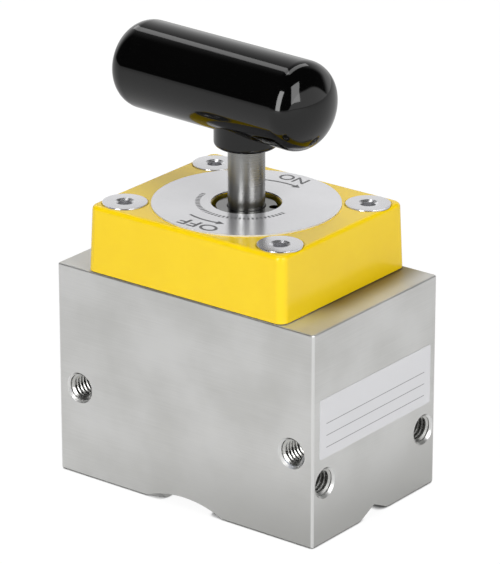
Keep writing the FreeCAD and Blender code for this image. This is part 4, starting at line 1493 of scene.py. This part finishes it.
@dataclass(frozen=True)
class Softbox:
    """A flat lamp that faces the object."""

    name: str
    towards: tuple[float, float, float]
    distance: float
    size: tuple[float, float]
    radiance: float
    along: tuple[float, float, float] = (1.0, 0.0, 0.0)
    mirrored: bool = True

    def build(self, target: Vector) -> None:
        """Hang the lamp.

        Args:
            target: what it faces.
        """
        lamp = bpy.data.lights.new(self.name, "AREA")
        lamp.shape = "RECTANGLE"
        lamp.size, lamp.size_y = self.size
        lamp.energy = self.radiance * math.pi * self.size[0] * self.size[1]
        holder = bpy.data.objects.new(self.name, lamp)
        bpy.context.scene.collection.objects.link(holder)
        back = Vector(self.towards).normalized()
        side = (Vector(self.along) - back * back.dot(Vector(self.along))).normalized()
        turn = Matrix((side, back.cross(side), back)).transposed().to_4x4()
        holder.matrix_world = Matrix.Translation(target + back * self.distance) @ turn
        holder.visible_camera = False
        holder.visible_glossy = self.mirrored


@dataclass
class Studio:
    """White floor, soft lamps, a white sweep behind the object and the camera."""

    azimuth: float = 37.70
    elevation: float = 21.39
    distance: float = 871.4 * MM
    aim: tuple[float, float, float] = (-8.81 * MM, 12.63 * MM, 39.26 * MM)
    lens: float = 254.0
    sensor: float = 36.0
    floor_radius: float = 2.2
    floor_sides: int = 96
    floor_drop: float = 0.1 * MM
    clip_start: float = 0.01
    floor_tone: float = 0.93
    floor_glow: float = 0.74
    floor_seen: float = 1.06
    floor_share: float = 0.88
    floor_mirrored: float = 0.55
    gap_reach: float = 2.0 * MM
    gap_ends: tuple[float, float] = (0.42, 0.85)
    lamp_aim: float = 80.0 * MM
    dark_side: float = 0.03
    least_level: float = 0.001
    sweep_turn: tuple[float, float] = (-0.15, 0.35)
    sweep_rise: tuple[float, float] = (0.15, 1.0)
    sweep_lean: float = 0.6
    sweep_end: tuple[float, float] = (0.35, 0.65)
    board_towards: tuple[float, float] = (0.988, 0.156)
    board_turn: tuple[float, float] = (0.62, 1.0)
    board_height: float = 0.42
    board_fade: float = 0.06
    backdrop: float = 1.03

    def build(self) -> None:
        """Set up the floor, the lamps, the surroundings and the camera."""
        self.build_floor()
        self.build_lamps()
        self.build_surroundings()
        self.build_camera()

    def build_floor(self) -> None:
        """Lay the white floor, which still takes a faint shadow."""
        bpy.ops.object.select_all(action="DESELECT")
        bpy.ops.mesh.primitive_circle_add(vertices=self.floor_sides, radius=self.floor_radius,
                                          fill_type="NGON", location=(0, 0, -self.floor_drop))
        floor = bpy.context.active_object
        floor.name = "floor"
        material = bpy.data.materials.new("floor_white")
        material.use_nodes = True
        graph = Graph(material.node_tree)
        path = graph.node("ShaderNodeLightPath", {}, {})
        camera = Signal(graph, path.outputs["Is Camera Ray"])
        glossy = Signal(graph, path.outputs["Is Glossy Ray"])
        plain = graph.node("ShaderNodeBsdfDiffuse", {}, {"Color": colour(*[self.floor_tone] * 3)})
        strength = self.floor_glow + camera * (self.floor_seen - self.floor_glow)
        glow = graph.node("ShaderNodeEmission", {}, {"Strength": strength})
        covered = graph.node("ShaderNodeAmbientOcclusion", {}, {"Distance": self.gap_reach}).outputs["AO"]
        gap = (1 - Signal(graph, covered)).ramp(*self.gap_ends)
        share = camera * (1 - gap) * self.floor_share + glossy * self.floor_mirrored
        mix = graph.node("ShaderNodeMixShader", {}, {0: share, 1: plain.outputs[0], 2: glow.outputs[0]})
        graph.node("ShaderNodeOutputMaterial", {}, {"Surface": mix.outputs[0]})
        floor.data.materials.append(material)

    def build_lamps(self) -> None:
        """Hang the lamps."""
        target = UP * self.lamp_aim
        for lamp in (
            Softbox("front_box", (0.06, -0.91, 0.36), 1.3, (0.46, 1.1), 6.5),
            Softbox("right_box", (0.80, -0.27, 0.52), 1.2, (0.55, 1.0), 4.1, (0.3, 1.0, 0.0)),
            Softbox("overhead_strip", (-0.61, 0.26, 0.75), 1.07, (1.15, 0.15), 1.9, (-0.82, 0.57, 0.0)),
            Softbox("overhead_branch", (-0.22, 0.40, 0.88), 0.95, (0.9, 0.24), 2.2, (0.0, 1.0, 0.0)),
            Softbox("overhead_fill", (0.0, 0.0, 1.0), 1.2, (0.8, 0.8), 1.5, mirrored=False),
        ):
            lamp.build(target)

    def build_surroundings(self) -> None:
        """White sweep behind and to the right, dark elsewhere, and plain white for the camera."""
        world = bpy.data.worlds.new("studio")
        bpy.context.scene.world = world
        world.use_nodes = True
        graph = Graph(world.node_tree)
        ray = Signal(graph, graph.node("ShaderNodeTexCoord", {}, {}).outputs["Generated"])
        x, y, z = graph.parts(ray)
        level = (x * x + y * y) ** 0.5 + self.least_level
        behind = (y / level).ramp(*self.sweep_turn) * (1 - z.ramp(*self.sweep_rise))
        behind = behind * (1 - (x + z * self.sweep_lean).ramp(*self.sweep_end))
        along, across = self.board_towards
        edge = ((x * along + y * across) / level).ramp(*self.board_turn) * self.board_height
        board = (edge - z).ramp(0.0, self.board_fade)
        sweep = behind.or_more(board) * (1 - self.dark_side) + self.dark_side
        path = graph.node("ShaderNodeLightPath", {}, {})
        camera = Signal(graph, path.outputs["Is Camera Ray"])
        seen = camera + Signal(graph, path.outputs["Is Transmission Ray"])
        strength = sweep + seen * (self.backdrop - sweep)
        shade = graph.node("ShaderNodeBackground", {}, {"Color": (1, 1, 1, 1), "Strength": strength})
        graph.node("ShaderNodeOutputWorld", {}, {"Surface": shade.outputs[0]})

    def build_camera(self) -> None:
        """Place the camera at the photograph's angle."""
        azimuth = math.radians(self.azimuth)
        elevation = math.radians(self.elevation)
        back = Vector((math.sin(azimuth) * math.cos(elevation), -math.cos(azimuth) * math.cos(elevation),
                       math.sin(elevation)))
        view = bpy.data.cameras.new("view")
        view.lens = self.lens
        view.sensor_width = self.sensor
        view.clip_start = self.clip_start
        holder = bpy.data.objects.new("view", view)
        holder.location = Vector(self.aim) + back * self.distance
        holder.rotation_euler = (math.pi / 2 - elevation, 0, azimuth)
        bpy.context.scene.collection.objects.link(holder)
        bpy.context.scene.camera = holder


def main() -> None:
    """Build the whole scene in order."""
    logging.basicConfig(level=logging.INFO, format="%(name)s: %(message)s")
    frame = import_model()
    bpy.context.scene.view_settings.view_transform = "Standard"
    paint = Paintshop(frame)
    paint.dress_parts()
    for assembly in (GroundBlock(frame, paint), CapAssembly(paint), Dial(paint), SwitchHandle(paint),
                     SideLabel(paint)):
        assembly.build()
        log.info("%s is built", type(assembly).__name__)
    Studio().build()


if __name__ == "__main__":
    main()
